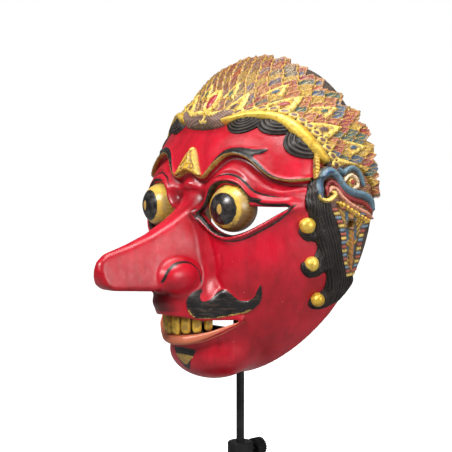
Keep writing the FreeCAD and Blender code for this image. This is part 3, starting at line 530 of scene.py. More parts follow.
def lacquer_colour(s, nicks):
    """Old red lacquer: brushed, nicked through to the dark wood and rubbed pale in places."""
    brush = s.noise(160.0, 5.0, 0.6, s.stretch(1.0, 1.0, 0.28))
    red = s.mix(s.fit(s.noise(26.0, 3.0), 0.36, 0.66), RED, LIGHT_RED)
    red = s.mix(s.calc("MULTIPLY", s.fit(brush, 0.42, 0.7), 0.30), red, DARK_RED)
    red = s.mix(s.calc("MULTIPLY", nicks, 0.75), red, (0.10, 0.02, 0.015))
    pale = s.fit(s.noise(900.0, 2.0, 0.6), 0.72, 0.76)
    red = s.mix(s.calc("MULTIPLY", pale, 0.45), red, (0.75, 0.33, 0.26))
    red = s.mix(s.fit(s.read("shade"), 0.0, 1.0), red, DARK_RED)
    return s.mix(s.fit(s.read("lip"), 0.25, -0.25), red, SALMON)


def lacquered_face():
    """The face's paint, laid on by the distances that painted_areas gives, and bare wood behind."""
    s = Shader("lacquered_face")
    nicks = s.fit(s.noise(620.0, 3.0, 0.7), 0.715, 0.75)
    edge = s.calc("MULTIPLY", s.calc("SUBTRACT", s.noise(700.0, 3.0), 0.5), 0.5)
    strand = s.noise(700.0, 2.0, 0.5, s.stretch(0.22, 0.22, 1.2), 0.6)
    black = s.mix(s.fit(strand, 0.50, 0.64), BLACK, (0.040, 0.026, 0.020))
    gold = s.mix(s.fit(s.noise(500.0, 4.0), 0.45, 0.62), (0.42, 0.27, 0.07), DEEP_GOLD)
    hide = s.mix(s.fit(s.noise(120.0, 5.0), 0.35, 0.7), BROWN, (0.085, 0.062, 0.05))
    grain = s.noise(75.0, 6.0, 0.6, s.stretch(5.0, 1.0, 0.5), 1.2)
    wood = s.mix(s.fit(grain, 0.35, 0.68), BARE, (0.10, 0.056, 0.03))
    colour = lacquer_colour(s, nicks)
    for name, paint, soft in (("black", black, 0.16), ("gold", gold, 0.16), ("rim", hide, 0.3)):
        colour = s.mix(s.fit(s.calc("ADD", s.read(name), edge), soft, -soft), colour, paint)
    colour = s.mix(s.fit(s.read("bare"), 0.5, -0.5), colour, wood)
    rough = s.fit(s.noise(210.0, 5.0), 0.3, 0.75, 0.30, 0.47)
    rough = s.calc("ADD", rough, s.fit(s.read("bare"), 0.5, -0.5, 0.0, 0.35))
    rough = s.calc("ADD", rough, s.fit(s.read("rim"), 0.3, -0.3, 0.0, 0.2))
    broad_cuts = s.calc("MULTIPLY", s.noise(55.0, 2.0), 1.4)
    fine_cuts = s.calc("MULTIPLY", s.noise(480.0, 4.0), 0.25)
    normal = s.bump(s.calc("ADD", broad_cuts, fine_cuts), 0.35, 0.0006)
    normal = s.bump(nicks, 0.5, -0.0002, normal)
    s.set(Base_Color=colour, Roughness=rough, Normal=normal, Specular_IOR_Level=0.42,
          Coat_Weight=0.16, Coat_Roughness=0.26)
    return s.material


def painted_carving():
    """Carved ornament painted by hand: the colours sit on the mesh, the wear and painted glints of pale
    gold are added here.
    """
    s = Shader("painted_carving")
    dirt = s.fit(s.noise(650.0, 5.0, 0.65), 0.46, 0.68)
    colour = s.mix(s.calc("MULTIPLY", dirt, 0.78), s.read("paint", "Color"), (0.070, 0.032, 0.012))
    # painted glints: small spots of pale gold
    glint = s.fit(s.noise(1100.0, 3.0, 0.6), 0.6, 0.72)
    colour = s.mix(s.calc("MULTIPLY", glint, 0.25), colour, (0.80, 0.56, 0.16))
    s.set(Base_Color=colour, Roughness=s.fit(s.noise(500.0, 4.0), 0.3, 0.75, 0.34, 0.6),
          Normal=s.bump(s.noise(900.0, 4.0), 0.35, 0.0003), Coat_Weight=0.15, Coat_Roughness=0.3)
    return s.material


def old_gilding():
    s = Shader("old_gilding")
    s.set(Base_Color=gold_colour(s, 0.6), Metallic=0.35,
          Roughness=s.fit(s.noise(300.0, 4.0), 0.3, 0.7, 0.26, 0.5),
          Normal=s.bump(s.noise(260.0, 4.0), 0.4, 0.0004))
    return s.material


def gilt_teeth():
    s = Shader("gilt_teeth")
    stain = s.fit(s.noise(260.0, 5.0), 0.38, 0.62)
    s.set(Base_Color=s.mix(stain, (0.70, 0.44, 0.05), (0.32, 0.19, 0.035)), Metallic=0.2,
          Roughness=s.fit(stain, 0.0, 1.0, 0.3, 0.5), Normal=s.bump(s.noise(300.0, 4.0), 0.4, 0.0004))
    return s.material


def hair():
    s = Shader("black_painted_hair")
    tone = s.mix(s.fit(s.noise(240.0, 5.0), 0.4, 0.7), BLACK, (0.026, 0.019, 0.016))
    # painted highlight: lighter brown on the crests of the carved waves
    tone = s.mix(s.fit(s.read("crest"), 0.6, 1.0), tone, (0.062, 0.048, 0.040))
    s.set(Base_Color=tone, Roughness=s.fit(s.noise(320.0, 4.0), 0.3, 0.7, 0.32, 0.55),
          Normal=s.bump(s.noise(500.0, 4.0), 0.3, 0.0003), Specular_IOR_Level=0.32)
    return s.material


def eye_paint():
    """Black iris with a gilt spot on a ball of worn gold, ringed by fine dark strokes, with painted shade
    on the ball's lower, outer side.
    """
    s = Shader("painted_eye")
    r = s.read("ring")
    leaf = gold_colour(s, 0.7)
    leaf = s.mix(s.fit(s.noise(60.0, 3.0), 0.40, 0.62), leaf, (0.42, 0.28, 0.09))
    # painted shade on the lower, outer side of the ball
    leaf = s.mix(s.fit(s.read("low"), 0.0, 0.8, 0.0, 0.92), leaf, (0.15, 0.065, 0.022))
    halo = s.calc("MULTIPLY", s.fit(r, 12.0, 10.8), s.fit(s.noise(190.0, 3.0), 0.3, 0.5))
    leaf = s.mix(halo, leaf, (0.66, 0.42, 0.07))
    wobble = s.calc("MULTIPLY", s.calc("SUBTRACT", s.noise(350.0, 3.0), 0.5), 0.9)
    spoke = s.fit(s.read("spoke"), 0.35, 0.75)
    outer = s.calc("MULTIPLY", s.fit(r, 12.2, 14.0), spoke)
    colour = s.mix(s.calc("MULTIPLY", outer, 0.45), leaf, (0.10, 0.05, 0.02))
    dark = s.mix(s.fit(s.noise(280.0, 4.0), 0.42, 0.7), BLACK, (0.05, 0.045, 0.043))
    colour = s.mix(s.fit(s.calc("ADD", r, wobble), 9.7, 9.2), colour, dark)
    colour = s.mix(s.fit(s.read("spot"), 1.12, 0.9), colour, (0.50, 0.30, 0.08))
    colour = s.mix(s.fit(r, 15.0, 22.0), colour, BARE)
    s.set(Base_Color=colour, Roughness=s.fit(s.noise(260.0, 4.0), 0.3, 0.7, 0.20, 0.36),
          Normal=s.bump(s.noise(300.0, 4.0), 0.2, 0.0003), Coat_Weight=0.1, Coat_Roughness=0.2)
    return s.material


def wood():
    s = Shader("plain_turned_wood")
    grain = s.noise(90.0, 6.0, 0.6, s.stretch(4.0, 4.0, 0.6), 1.0)
    s.set(Base_Color=s.mix(s.fit(grain, 0.35, 0.68), (0.30, 0.18, 0.095), (0.15, 0.08, 0.04)),
          Roughness=s.fit(grain, 0.3, 0.7, 0.55, 0.8), Normal=s.bump(grain, 0.3, 0.0004))
    return s.material


def steel(name, dark, light, metallic):
    s = Shader(name)
    fine = s.noise(800.0, 5.0, 0.6, s.stretch(1.0, 1.0, 0.05))
    patch = s.noise(35.0, 4.0)
    scratch = s.fit(s.noise(240.0, 2.0, 0.5, s.stretch(9.0, 1.0, 1.0), 1.5), 0.70, 0.74)
    colour = s.mix(s.fit(patch, 0.35, 0.7), dark, light)
    colour = s.mix(s.calc("MULTIPLY", scratch, 0.25), colour, (0.2, 0.19, 0.18))
    s.set(Base_Color=colour, Metallic=metallic, Roughness=s.fit(fine, 0.25, 0.75, 0.30, 0.52),
          Normal=s.bump(fine, 0.22, 0.0003), Specular_IOR_Level=0.25)
    return s.material


def wool_felt():
    s = Shader("wool_felt")
    fluff = s.noise(1500.0, 6.0, 0.7, None, 0.8)
    s.set(Base_Color=s.mix(s.fit(fluff, 0.35, 0.65), (0.055, 0.057, 0.06), (0.15, 0.15, 0.155)),
          Roughness=0.95, Sheen_Weight=0.4, Normal=s.bump(fluff, 0.8, 0.0006))
    return s.material


FACE = lacquered_face()
RELIEF = painted_carving()
GILDING = old_gilding()
HAIR = hair()
BLACK_STEEL = steel("blackened_steel", (0.012, 0.012, 0.013), (0.035, 0.034, 0.034), 0.55)
PLAIN_STEEL = steel("bright_steel", (0.36, 0.35, 0.34), (0.52, 0.51, 0.49), 1.0)


# ---------------------------------------------------------------- face and nose
FACE_GRID_LOW = np.array([-84.0, -116.0, -4.0])
FACE_GRID_HIGH = np.array([84.0, 46.0, 202.0])
FAR = 9.0
DIADEM_ANGLES = (10, 24, 33, 42, 50, 61, 66, 72, 80, 90)
DIADEM_DEPTHS = (8.0, 4.9, 1.4, -2.5, -7.0, -17.0, -22.5, -27.0, -29.5, -30.0)


def diadem_depth(theta):
    """Y of the crown's front edge, by the angle theta up from the side."""
    return np.interp(np.degrees(theta), DIADEM_ANGLES, DIADEM_DEPTHS)


def face_surface():
    """Points, unit normals and quads of the carved face."""
    step = 1.0
    counts = ((FACE_GRID_HIGH - FACE_GRID_LOW) / step).astype(int) + 1
    axes = [low + step * np.arange(count) for low, count in zip(FACE_GRID_LOW, counts)]
    x, m = [flat[:, None, :].astype(np.float32) for flat in np.meshgrid(axes[0], axes[2], indexing="ij")]
    y = axes[1][None, :, None].astype(np.float32)
    field = face_field(x, y, m).astype(np.float32)
    points, quads = surface_net(field, FACE_GRID_LOW, step)
    for _ in range(2):
        normals = slope(field, FACE_GRID_LOW, step, points, 0.6)
        points = points - 0.8 * normals * sample(field, FACE_GRID_LOW, step, points)[:, None]
    return points, slope(field, FACE_GRID_LOW, step, points, 0.9), quads


def black_paint(px, py, pm, depth, eye, moustache):
    """Distance to the brows, eye lines, creases, nostril lines, moustache and chin tuft."""
    ax = np.abs(px)
    lid = np.where(depth > -0.6, np.abs(eye - 0.4) - np.where(pm > 106.0, 0.85, 0.6), FAR)
    tail = np.hypot((ax - 47.5) / 3.8, (pm - 111.6) / 1.3) - 1.0
    lower = along(ax, pm, LOWER_CREASE)[0] - 0.42
    gap, _, place = along(ax, pm, UPPER_CREASE)
    upper = gap - np.interp(place, (0.0, 0.3, 0.8, 1.0), (0.2, 0.55, 0.5, 0.15))
    nostril = np.where((ax > 8.0) & (ax < 24.0), along(py, pm, NOSTRIL)[0] - 0.6, FAR)
    return np.minimum.reduce([inside(ax, pm, BROW), lid, tail * 2.5, lower, upper, nostril, moustache,
                              inside(px, pm, CHIN_TUFT)])


def gold_paint(px, pm, brow_gap, brow_side, moustache):
    """Distance to the gilt line along the brow step, round the moustache and in the chin tuft."""
    ax = np.abs(px)
    line = np.abs(brow_side - 0.55) - 0.7 + (brow_gap > 3) * FAR
    line = np.where((ax < 67.0) & (ax > 0.0), line, FAR)
    edge = np.abs(moustache + 0.55) - 0.35 + (pm > 47.0) * FAR
    tuft = inside(px, (pm - 13.5) / 0.55 + 13.5, CHIN_TUFT) + 1.0
    return np.minimum.reduce([line, edge, tuft])


def painted_shade(ax, pm, brow_gap, brow_side, eye):
    """How much the red darkens under the brow, beside and under the eye, and under the nose."""
    shade = 0.85 * bell(brow_side + 2.2, 1.6) * (brow_gap < 8) * (ax < 70)
    shade += 0.8 * bell(ax - 10, 5.5) * bell(pm - 111.5, 6.0)
    shade += 0.7 * bell(eye - 3.0, 1.0) * (pm < 106)
    return shade + 0.9 * bell(ax, 12.0) * smoothstep(59.0, 55.0, pm) * smoothstep(44.0, 46.0, pm)


def hide_rim(ax, py, pm):
    """Distance to the brown rim that runs round the back of the mask."""
    over = np.minimum(diadem_depth(np.arctan2(pm - WIDEST, ax)) - py - 1.0, 40.0)
    beside = np.interp(pm, (0, 22, 47, 60, 98, 126), (44, 41, 22, 17, 6, 0)) - py
    return np.where(pm > 130.0, over, beside)


def painted_areas(points, normals):
    """Where each finish lies, as distances that are below zero inside it; the shade is a share."""
    px, py, pm = points.T
    ax = np.abs(px)
    depth = body_field(px, py, pm)
    eye = inside(ax, pm, EYE)
    moustache = inside(ax, pm, MOUSTACHE)
    brow_gap, brow_side, _ = along(ax, pm, BROW_STEP)
    lip = along(ax, pm, LOWER_LIP)[0] - np.interp(ax, (0, 12, 24, 34), (3.3, 3.1, 2.4, 0.9))
    inner = ((depth < -2.2) & (py > -52.0)) | (py > rim_depth(pm) - 0.9)
    eye_edge = (eye < 2.0) & (depth > -4.5) & (py < 0)
    lips = (pm < 48) & (pm > 28) & (py < -36) & (normals[:, 1] < 0.25)
    bare = np.where(inner & ~eye_edge & ~lips, -1.0, 1.0)
    front = (bare > 0) & (py < 20)
    return {"black": np.where(front, black_paint(px, py, pm, depth, eye, moustache), FAR),
            "gold": np.where(front, gold_paint(px, pm, brow_gap, brow_side, moustache), FAR),
            "shade": np.where(front, painted_shade(ax, pm, brow_gap, brow_side, eye), 0.0),
            "lip": np.where(front, lip, FAR), "rim": hide_rim(ax, py, pm), "bare": bare}


def build_face():
    points, normals, quads = face_surface()
    areas = painted_areas(points, normals)
    mx, my, mm = points[quads].mean(1).T
    on_nose = (my < -57.0) & (np.abs(mx) < 26.0) & (mm > 53.0)
    for node, chosen in (("face_shell", ~on_nose), ("nose", on_nose)):
        used, remap = np.unique(quads[chosen], return_inverse=True)
        data = {name: values[used] for name, values in areas.items()}
        piece = mesh_object("carved_" + node, points[used], remap.reshape(-1, 4), data, None, normals[used])
        finish_piece(piece, FACE, node)


# ---------------------------------------------------------------- carved layers lying on the mask's skin
SUNK = -1.4    # relief outside a piece's outline, just under the skin


def skin_normal(x, y, m, h=0.4):
    """Outward direction of the plain body, from its field h mm to either side."""
    return unit(np.stack([body_field(x + h, y, m) - body_field(x - h, y, m),
                          body_field(x, y + h, m) - body_field(x, y - h, m),
                          body_field(x, y, m + h) - body_field(x, y, m - h)], -1))


def over_the_top(theta, phi):
    """Skin points by the angle up from the side and the angle back from the front."""
    y = BACK - HALF_DEPTH * np.cos(phi)
    low, high = np.full(theta.shape, 4.0), np.full(theta.shape, 112.0)
    for _ in range(24):
        mid = 0.5 * (low + high)
        out = body_field(mid * np.cos(theta), y, WIDEST + mid * np.sin(theta)) > 0
        low, high = np.where(out, low, mid), np.where(out, mid, high)
    return np.stack([low * np.cos(theta), y, WIDEST + low * np.sin(theta)], -1)


def round_the_side(alpha, m):
    """Skin points by the angle round from the front and the height."""
    wide, deep = sections(m)
    full = fullness(m)
    radius = (np.abs(np.sin(alpha)) ** full + np.abs(np.cos(alpha)) ** full) ** (-1.0 / full)
    return np.stack([wide * np.sin(alpha) * radius, BACK - deep * np.cos(alpha) * radius, m], -1)


def carved_layer(name, points, relief, colours=None, attributes=None, both=False, edge=-0.8):
    """A sheet of carving: it rises by `relief` mm from the skin and sinks into it round its outline."""
    x, y, m = np.moveaxis(points, -1, 0)
    skin = swelling(x, m) * smoothstep(16.0, -2.0, y)
    out = points + skin_normal(x, y, m) * (skin + relief)[..., None]
    rows, cols = relief.shape
    index = np.arange(rows * cols).reshape(rows, cols)
    quads = np.stack([index[:-1, :-1], index[1:, :-1], index[1:, 1:], index[:-1, 1:]], -1).reshape(-1, 4)
    quads = quads[(relief.ravel()[quads] > edge).any(1)]
    used, remap = np.unique(quads, return_inverse=True)
    quads = remap.reshape(-1, 4)
    vertices = out.reshape(-1, 3)[used]
    paint = None if colours is None else colours.reshape(-1, 3)[used]
    extra = {key: values.ravel()[used] for key, values in (attributes or {}).items()}
    if both:
        quads = np.vstack([quads, quads[:, ::-1] + len(vertices)])
        vertices = np.vstack([vertices, vertices * (-1, 1, 1)])
        paint = None if paint is None else np.vstack([paint, paint])
        extra = {key: np.concatenate([values, values]) for key, values in extra.items()}
    return mesh_object(name, vertices, quads, extra, paint)


def finish_sides(left, material, node):
    """Finish a left-hand piece and its mirror image, each for the CAD node of its own side."""
    mesh = left.data.copy()
    mesh.name = left.name.replace("_left", "_right")
    mesh.transform(Matrix.Scale(-1.0, 4, Vector((1, 0, 0))))
    mesh.flip_normals()
    right = linked_object(mesh.name, mesh)
    finish_piece(left, material, node + "_left")
    finish_piece(right, material, node + "_right")


def hashed(a, b, salt=0.0):
    """A fixed number from 0 to 1 that looks random, for each pair of whole numbers."""
    value = np.sin(a * 12.9898 + b * 78.233 + salt * 37.719) * 43758.5453
    return value - np.floor(value)


def blend_colour(share, a, b):
    share = np.clip(share, 0, 1)[..., None]
    return np.asarray(a, float) * (1 - share) + np.asarray(b, float) * share


def overlay(relief, colour, new_relief, new_colour, where):
    """Put new carving and paint on a sheet where the mask is true."""
    return np.where(where, new_relief, relief), np.where(where[..., None], new_colour, colour)


LEAF_GOLD = np.array((0.62, 0.37, 0.035))
PALE_GOLD = np.array((0.80, 0.56, 0.12))
# dark brown laid on as painted shade in the gaps, grooves and round the edges of the carving, and used for
# dark scale lines
DIRT_AND_SHADE = np.array((0.055, 0.032, 0.018))
TEAL = np.array((0.018, 0.075, 0.060))
BLUE = np.array((0.026, 0.080, 0.150))
MAROON = np.array((0.28, 0.010, 0.014))
ORANGE = np.array((0.38, 0.10, 0.035))
PURPLE = np.array((0.13, 0.065, 0.06))
CREAM = np.array((0.70, 0.52, 0.34))
DARK_BROWN = np.array((0.10, 0.05, 0.05))
BLUE_GREY = np.array((0.075, 0.155, 0.21))
DEEP_BLUE = np.array((0.022, 0.085, 0.18))
PINK = np.array((0.66, 0.28, 0.18))


def leaf_rows(u, v, pitch_u, pitch_v, length, side):
    """Overlapping pointed leaves: relief in mm and colour, with painted shade in the gaps, along the edges
    and in the grooves, tips away from v = 0.
    """
    # the ground between the leaves starts as dark brown painted shade
    relief, colour = np.zeros(u.shape), DIRT_AND_SHADE
    quiet = 0.55 * np.clip(1.15 - np.abs(u) / 42.0, 0.0, 1.0)
    for back in (2, 1, 0):
        row = np.floor(v / pitch_v) - back
        shift = np.where(np.mod(row, 2) > 0.5, 0.5, 0.0) + 0.22 * (hashed(row, 5.0) - 0.5)
        column = np.floor(u / pitch_u + shift)
        a = (u / pitch_u + shift - column - 0.5) * 2.0 * 0.98
        b = (v - row * pitch_v) / (length * (1.0 + 0.16 * (hashed(row, column, 3.0) - 0.5)))
        taper = np.clip(np.sin(math.pi * np.clip(b, 0.0, 1.0) ** 0.72), 0.0, 1.0) ** 0.7
        edge = (1.0 + 0.10 * np.cos(b * 21.0)) * taper - np.abs(a)
        within = (edge > 0) & (b > 0) & (b < 1.0) & (row >= 0)
        rim = smoothstep(0.27, 0.15, edge)
        rib = 0.7 * smoothstep(0.13, 0.05, np.abs(a)) * (b < 0.7)
        height = 0.2 + 1.9 * b + 0.55 * smoothstep(0.0, 0.2, edge) - 0.5 * smoothstep(0.3, 0.5, edge)
        height = height + 0.35 * rib + 0.10 * np.cos(b * 60.0) * (1.0 - rim)
        pick = hashed(row, column, side)[..., None]
        ink = np.select([pick < 0.30, pick < 0.48, pick < 0.66, pick < 0.85],
                        [TEAL, BLUE, MAROON, ORANGE], LEAF_GOLD * 0.8)
        ink = blend_colour(quiet, ink, np.where(pick < 0.5, ORANGE * 0.9, PURPLE))
        gold = blend_colour(0.45 * hashed(row, column, 9.0), LEAF_GOLD, PALE_GOLD)
        tone = blend_colour(np.maximum(rim, rib * 0.8), ink, gold)
        # painted shade along each leaf's edge, where it drops to the leaves below
        tone = blend_colour(0.9 * smoothstep(0.13, 0.01, edge), tone, DIRT_AND_SHADE)
        # painted shade in the carved grooves across the leaf
        grooves = smoothstep(0.3, 0.9, np.cos(b * 62.0 + np.abs(a) * 7.0))
        tone = blend_colour(0.55 * (1.0 - rim) * grooves, tone, DIRT_AND_SHADE)
        tone = blend_colour(0.5 * smoothstep(0.72, 1.0, b), tone, (0.46, 0.13, 0.08))
        relief, colour = overlay(relief, colour, height, tone, within & (height > relief))
    return relief, colour


def bead_row(u, v, pitch, centre, radius):
    """A row of ringed beads: relief and colour, and where it applies."""
    a = (u / pitch - np.floor(u / pitch) - 0.5) * pitch
    r = np.hypot(a, v - centre) / radius
    relief = 1.3 * dome(r) + 0.5 * bell(r - 0.8, 0.14)
    return relief, blend_colour(smoothstep(0.52, 0.66, r), PURPLE, PALE_GOLD), r < 1.0


def big_leaf(u, v, centre, foot, width, length, ink):
    """One large pointed leaf with a jewel at its foot: relief and colour, and where it applies."""
    b = (v - foot) / length
    a = (u - centre) / width
    edge = np.clip(1.0 - b, 0, 1) ** 0.8 * (b > 0) - np.abs(a)
    rim = smoothstep(0.46, 0.34, edge)
    inner = smoothstep(0.12, 0.0, np.hypot(a, (b - 0.28) * 1.3) - 0.16)
    notch = 0.12 * np.sin(b * 26.0 + np.abs(a) * 8.0)
    relief = 2.1 + 0.9 * smoothstep(0.0, 0.2, edge) - 0.7 * smoothstep(0.38, 0.5, edge) + 0.8 * inner
    scales = smoothstep(0.35, 0.9, np.cos(b * 30.0 + np.abs(a) * 9.0))
    colour = blend_colour(rim, LEAF_GOLD * 0.85, PALE_GOLD)
    colour = blend_colour(0.75 * scales * (1.0 - rim * 0.6), colour, DIRT_AND_SHADE)
    colour = blend_colour(inner, colour, ink)
    # painted shade along the leaf's outer edge
    colour = blend_colour(smoothstep(0.07, 0.0, edge), colour, DIRT_AND_SHADE)
    return relief + notch * rim, colour, (edge > 0) & (b > 0)


RING = 78.0    # mm of skin to one radian on the crown
LEAF_FAN = 6.1
TIP_ANGLES = (8, 21.6, 39, 58, 69, 80, 90)
TIP_DEPTHS = (46.0, 45.0, 42.0, 28.0, 25.0, 24.0, 23.0)
# rows of big leaves: places to either side, foot, half-width, length, how much lower, colours
BIG_LEAF_ROWS = (((24, 47, 72, 97), 4.6, 7.6, 17.5, 0.0, (DARK_BROWN, MAROON)),
                 ((12, 36, 60, 85), 17.0, 5.0, 13.0, 0.5, (TEAL, BLUE)))


def crown_grid(low, high, near, far, spacing):
    """Skin points over the top, how far each is behind the crown's front edge, and their angles."""
    spacing = spacing * COARSENESS
    thetas = np.radians(np.linspace(low, high, int((high - low) * 1.3 / spacing)))
    phis = np.radians(np.linspace(near, far, int((far - near) * 1.45 / spacing)))
    theta, phi = np.meshgrid(thetas, phis, indexing="ij")
    folded = np.minimum(theta, math.pi - theta)
    start = np.arccos(np.clip((BACK - diadem_depth(folded)) / HALF_DEPTH, -1, 1))
    return over_the_top(theta, phi), (phi - start) * RING, folded, theta, phi


def crown_pattern(u, v):
    """Leaves, big leaves and a bead row: relief and colour before the sheet is cut to shape."""
    relief, colour = leaf_rows(u, v - 1.0, LEAF_FAN, 4.9, 9.6, 1.0)
    for centres, foot, width, length, lower, inks in BIG_LEAF_ROWS:
        for n, centre in enumerate(centres):
            for place in (-centre, centre):
                height, tone, within = big_leaf(u, v, place, foot, width, length, inks[n % 2])
                height = height - lower
                relief, colour = overlay(relief, colour, height, tone, within & (height > relief))
    height, tone, within = bead_row(u, v, 5.4, 4.0, 2.7)
    # the low strip under the bead row is painted dark brown as shade
    relief, colour = overlay(relief, colour, 0.5, DIRT_AND_SHADE, v < 6.0)
    return overlay(relief, colour, height + 0.9, tone, within)


def build_crown():
    points, v, folded, theta, phi = crown_grid(5.0, 175.0, 28.0, 89.6, 0.46)
    u = (theta - math.pi / 2) * RING
    relief, colour = crown_pattern(u, v)
    tips = np.interp(np.degrees(folded), TIP_ANGLES, TIP_DEPTHS)
    left = (np.arccos((BACK - tips) / HALF_DEPTH) - phi) * RING
    tooth_gap = np.abs(np.mod(u / (LEAF_FAN * 1.9), 1.0) - 0.5) * 2.0
    outline = left - 7.5 * tooth_gap ** 1.2
    edging = bell(outline - 1.0, 0.8)
    colour = blend_colour(edging * 0.9, colour, (0.46, 0.24, 0.10))
    rise = 1.8 + 3.6 * smoothstep(12.0, 45.0, v) + 0.8 * smoothstep(50.0, 30.0, np.degrees(folded))
    ear = (inside(points[..., 1], points[..., 2], ORNAMENT) < -0.6) & (np.abs(points[..., 0]) > 50.0)
    kept = (outline > 0) & ~ear & (v > -1.5)
    relief = np.where(kept, relief + 0.7 * edging + rise, -1.6)
    crown = carved_layer("crown_leaves", points, relief, colour)
    finish_piece(crown, RELIEF, "crown")


BAND_ANGLES = (21, 24, 30, 40, 50, 61, 68, 74)
BAND_WIDTHS = (4.0, 7.0, 9.2, 9.6, 9.0, 8.2, 6.0, 2.0)


def build_diadem():
    points, v, folded = crown_grid(14.0, 80.0, 22.0, 68.0, 0.42)[:3]
    degrees = np.degrees(folded)
    width = np.interp(degrees, BAND_ANGLES, BAND_WIDTHS)
    a = (v + width / 2 - 1.8) / (width / 2)
    end = smoothstep(21.5, 24.0, degrees) * smoothstep(75.0, 72.0, degrees)
    relief = 1.7 + 3.6 * dome(a) ** 1.1 * (0.75 + 0.25 * end)
    relief += 0.25 * bell(a + 0.35, 0.12) - 0.7 * bell(a - 0.72, 0.10)
    relief = np.where((np.abs(a) < 1.0) & (end > 0.02), relief * np.clip(end * 3, 0, 1), SUNK)
    band = carved_layer("diadem_crescents", points, relief, both=True)
    finish_piece(band, GILDING, "diadem_band")


LOBE = smooth_curve([(0.6, 157.6), (3.6, 154.4), (9.5, 152.6), (15.6, 153.4), (20.6, 157.4), (21.2, 161.4),
                     (16.5, 162.6), (9.5, 161.4), (4.6, 162.2), (1.0, 161.8)], True)
LOBE_LIP = smooth_curve([
    (21.6, 161.6), (17.5, 162.4), (12.4, 160.6), (8.0, 158.4), (4.0, 159.4), (0.8, 161.2)])


def build_lobes():
    points = crown_grid(58.0, 90.0, 20.0, 48.0, 0.30)[0]
    x, _, m = np.moveaxis(points, -1, 0)
    hollow = inside(x, m, LOBE)
    lip = along(x, m, LOBE_LIP)[0]
    body = smoothstep(0.0, -3.0, hollow)
    hatch = np.cos((x * 0.8 + m * 1.6) * 3.4)
    relief = 1.4 + 4.4 * body ** 0.6 + 0.16 * hatch * body + 1.5 * dome(lip / 1.9)
    colour = blend_colour(0.8 * smoothstep(-0.2, 0.8, hatch), (0.15, 0.095, 0.085), (0.36, 0.23, 0.17))
    colour = blend_colour(smoothstep(1.9, 1.1, lip), colour, PALE_GOLD)
    relief = np.where(hollow < 0, relief, SUNK)
    lobes = carved_layer("crown_front_lobes", points, relief, colour, both=True)
    finish_piece(lobes, RELIEF, "crown_lobes")


GEM_HEIGHT = 166.6
GEM_HALF = (4.8, 7.2)    # half-width and half-height


def build_gem():
    points = crown_grid(80.0, 100.0, 30.0, 56.0, 0.26)[0]
    x, _, m = np.moveaxis(points, -1, 0)
    r = np.hypot(x / GEM_HALF[0], (m - GEM_HEIGHT) / GEM_HALF[1])
    relief = np.where(r < 1.0, 4.4 + 1.6 * bell(r - 0.80, 0.15) + 2.0 * dome(r / 0.58), SUNK)
    colour = blend_colour(smoothstep(0.56, 0.64, r), (0.36, 0.02, 0.03), PALE_GOLD)
    gem = carved_layer("crown_front_gem", points, relief, colour)
    finish_piece(gem, RELIEF, "crown_gem")


# scallops of hair: middle (X, m), half-width, half-height and turn
SCALLOPS = ((27.6, 157.4, 9.8, 8.6, 0.0), (45.4, 158.0, 11.2, 9.8, -0.2), (60.2, 146.4, 12.2, 9.6, -1.1))


def build_fringe():
    points, v = crown_grid(18.0, 78.0, 12.0, 62.0, 0.30)[:2]
    x, _, m = np.moveaxis(points, -1, 0)
    relief = np.full(x.shape, SUNK)
    # share of painted highlight on the crests of the waves
    crest = np.zeros(x.shape)
    for middle_x, middle_m, wide, tall, turn in SCALLOPS:
        across = (x - middle_x) * math.cos(turn) + (m - middle_m) * math.sin(turn)
        upward = -(x - middle_x) * math.sin(turn) + (m - middle_m) * math.cos(turn)
        r = np.hypot(across / wide, upward / tall)
        wave = np.cos(r * math.pi * 2.0 * 6.0)
        height = 0.4 + 3.0 * np.clip(1.0 - r ** 3.0, 0, 1) ** 0.7 + 0.30 * wave
        wins = (r < 1.0) & (height > relief)
        relief = np.where(wins, height, relief)
        crest = np.where(wins, 0.5 + 0.5 * wave, crest)
    relief = np.where(v < 0.5, relief, SUNK)
    fringe = carved_layer("hair_scallops", points, relief, attributes={"crest": crest}, both=True)
    finish_piece(fringe, HAIR, "hair_fringe")


# ---------------------------------------------------------------- the sides: hair, bosses, ear ornament
SIDE_HAIR = smooth_curve([
    (-2, 124), (-6.6, 121.6), (-9.4, 115), (-10.6, 108), (-9.6, 101.4), (-10.4, 96), (-15.2, 95.6),
    (-15.6, 91.6), (-11.4, 87.4), (-6, 86.6), (-4.6, 83.4), (-5.6, 79), (-7.6, 75), (-12.6, 75.2),
    (-12.6, 70.6), (-8, 66), (-2, 66), (2.8, 68.2), (5, 64), (4.6, 58.4), (1, 54.6), (-2.4, 53.2),
    (-2.4, 48.6), (2.6, 45.6), (9, 45.8), (15, 48.2), (21.6, 53), (26, 63), (23, 69), (15.4, 80),
    (13, 92), (9, 103), (4, 113), (1, 121)], True, 4)
HAIR_FLOW = smooth_curve([(-4, 124), (-5, 110), (-3, 98), (2, 86), (6, 74), (11, 62), (10, 46)])
CURLS = ((-8.6, 95.4), (-5.0, 73.4), (4.0, 52.8))    # middles, (Y, m)
CURL_RADIUS = 8.5


def side_grid(near, far, low, high, spacing):
    """Skin points round the side, from angle to angle and height to height."""
    spacing = spacing * COARSENESS
    alphas = np.radians(np.linspace(near, far, int((far - near) * 1.45 / spacing)))
    heights = np.linspace(low, high, int((high - low) / spacing))
    return round_the_side(*np.meshgrid(alphas, heights, indexing="ij"))


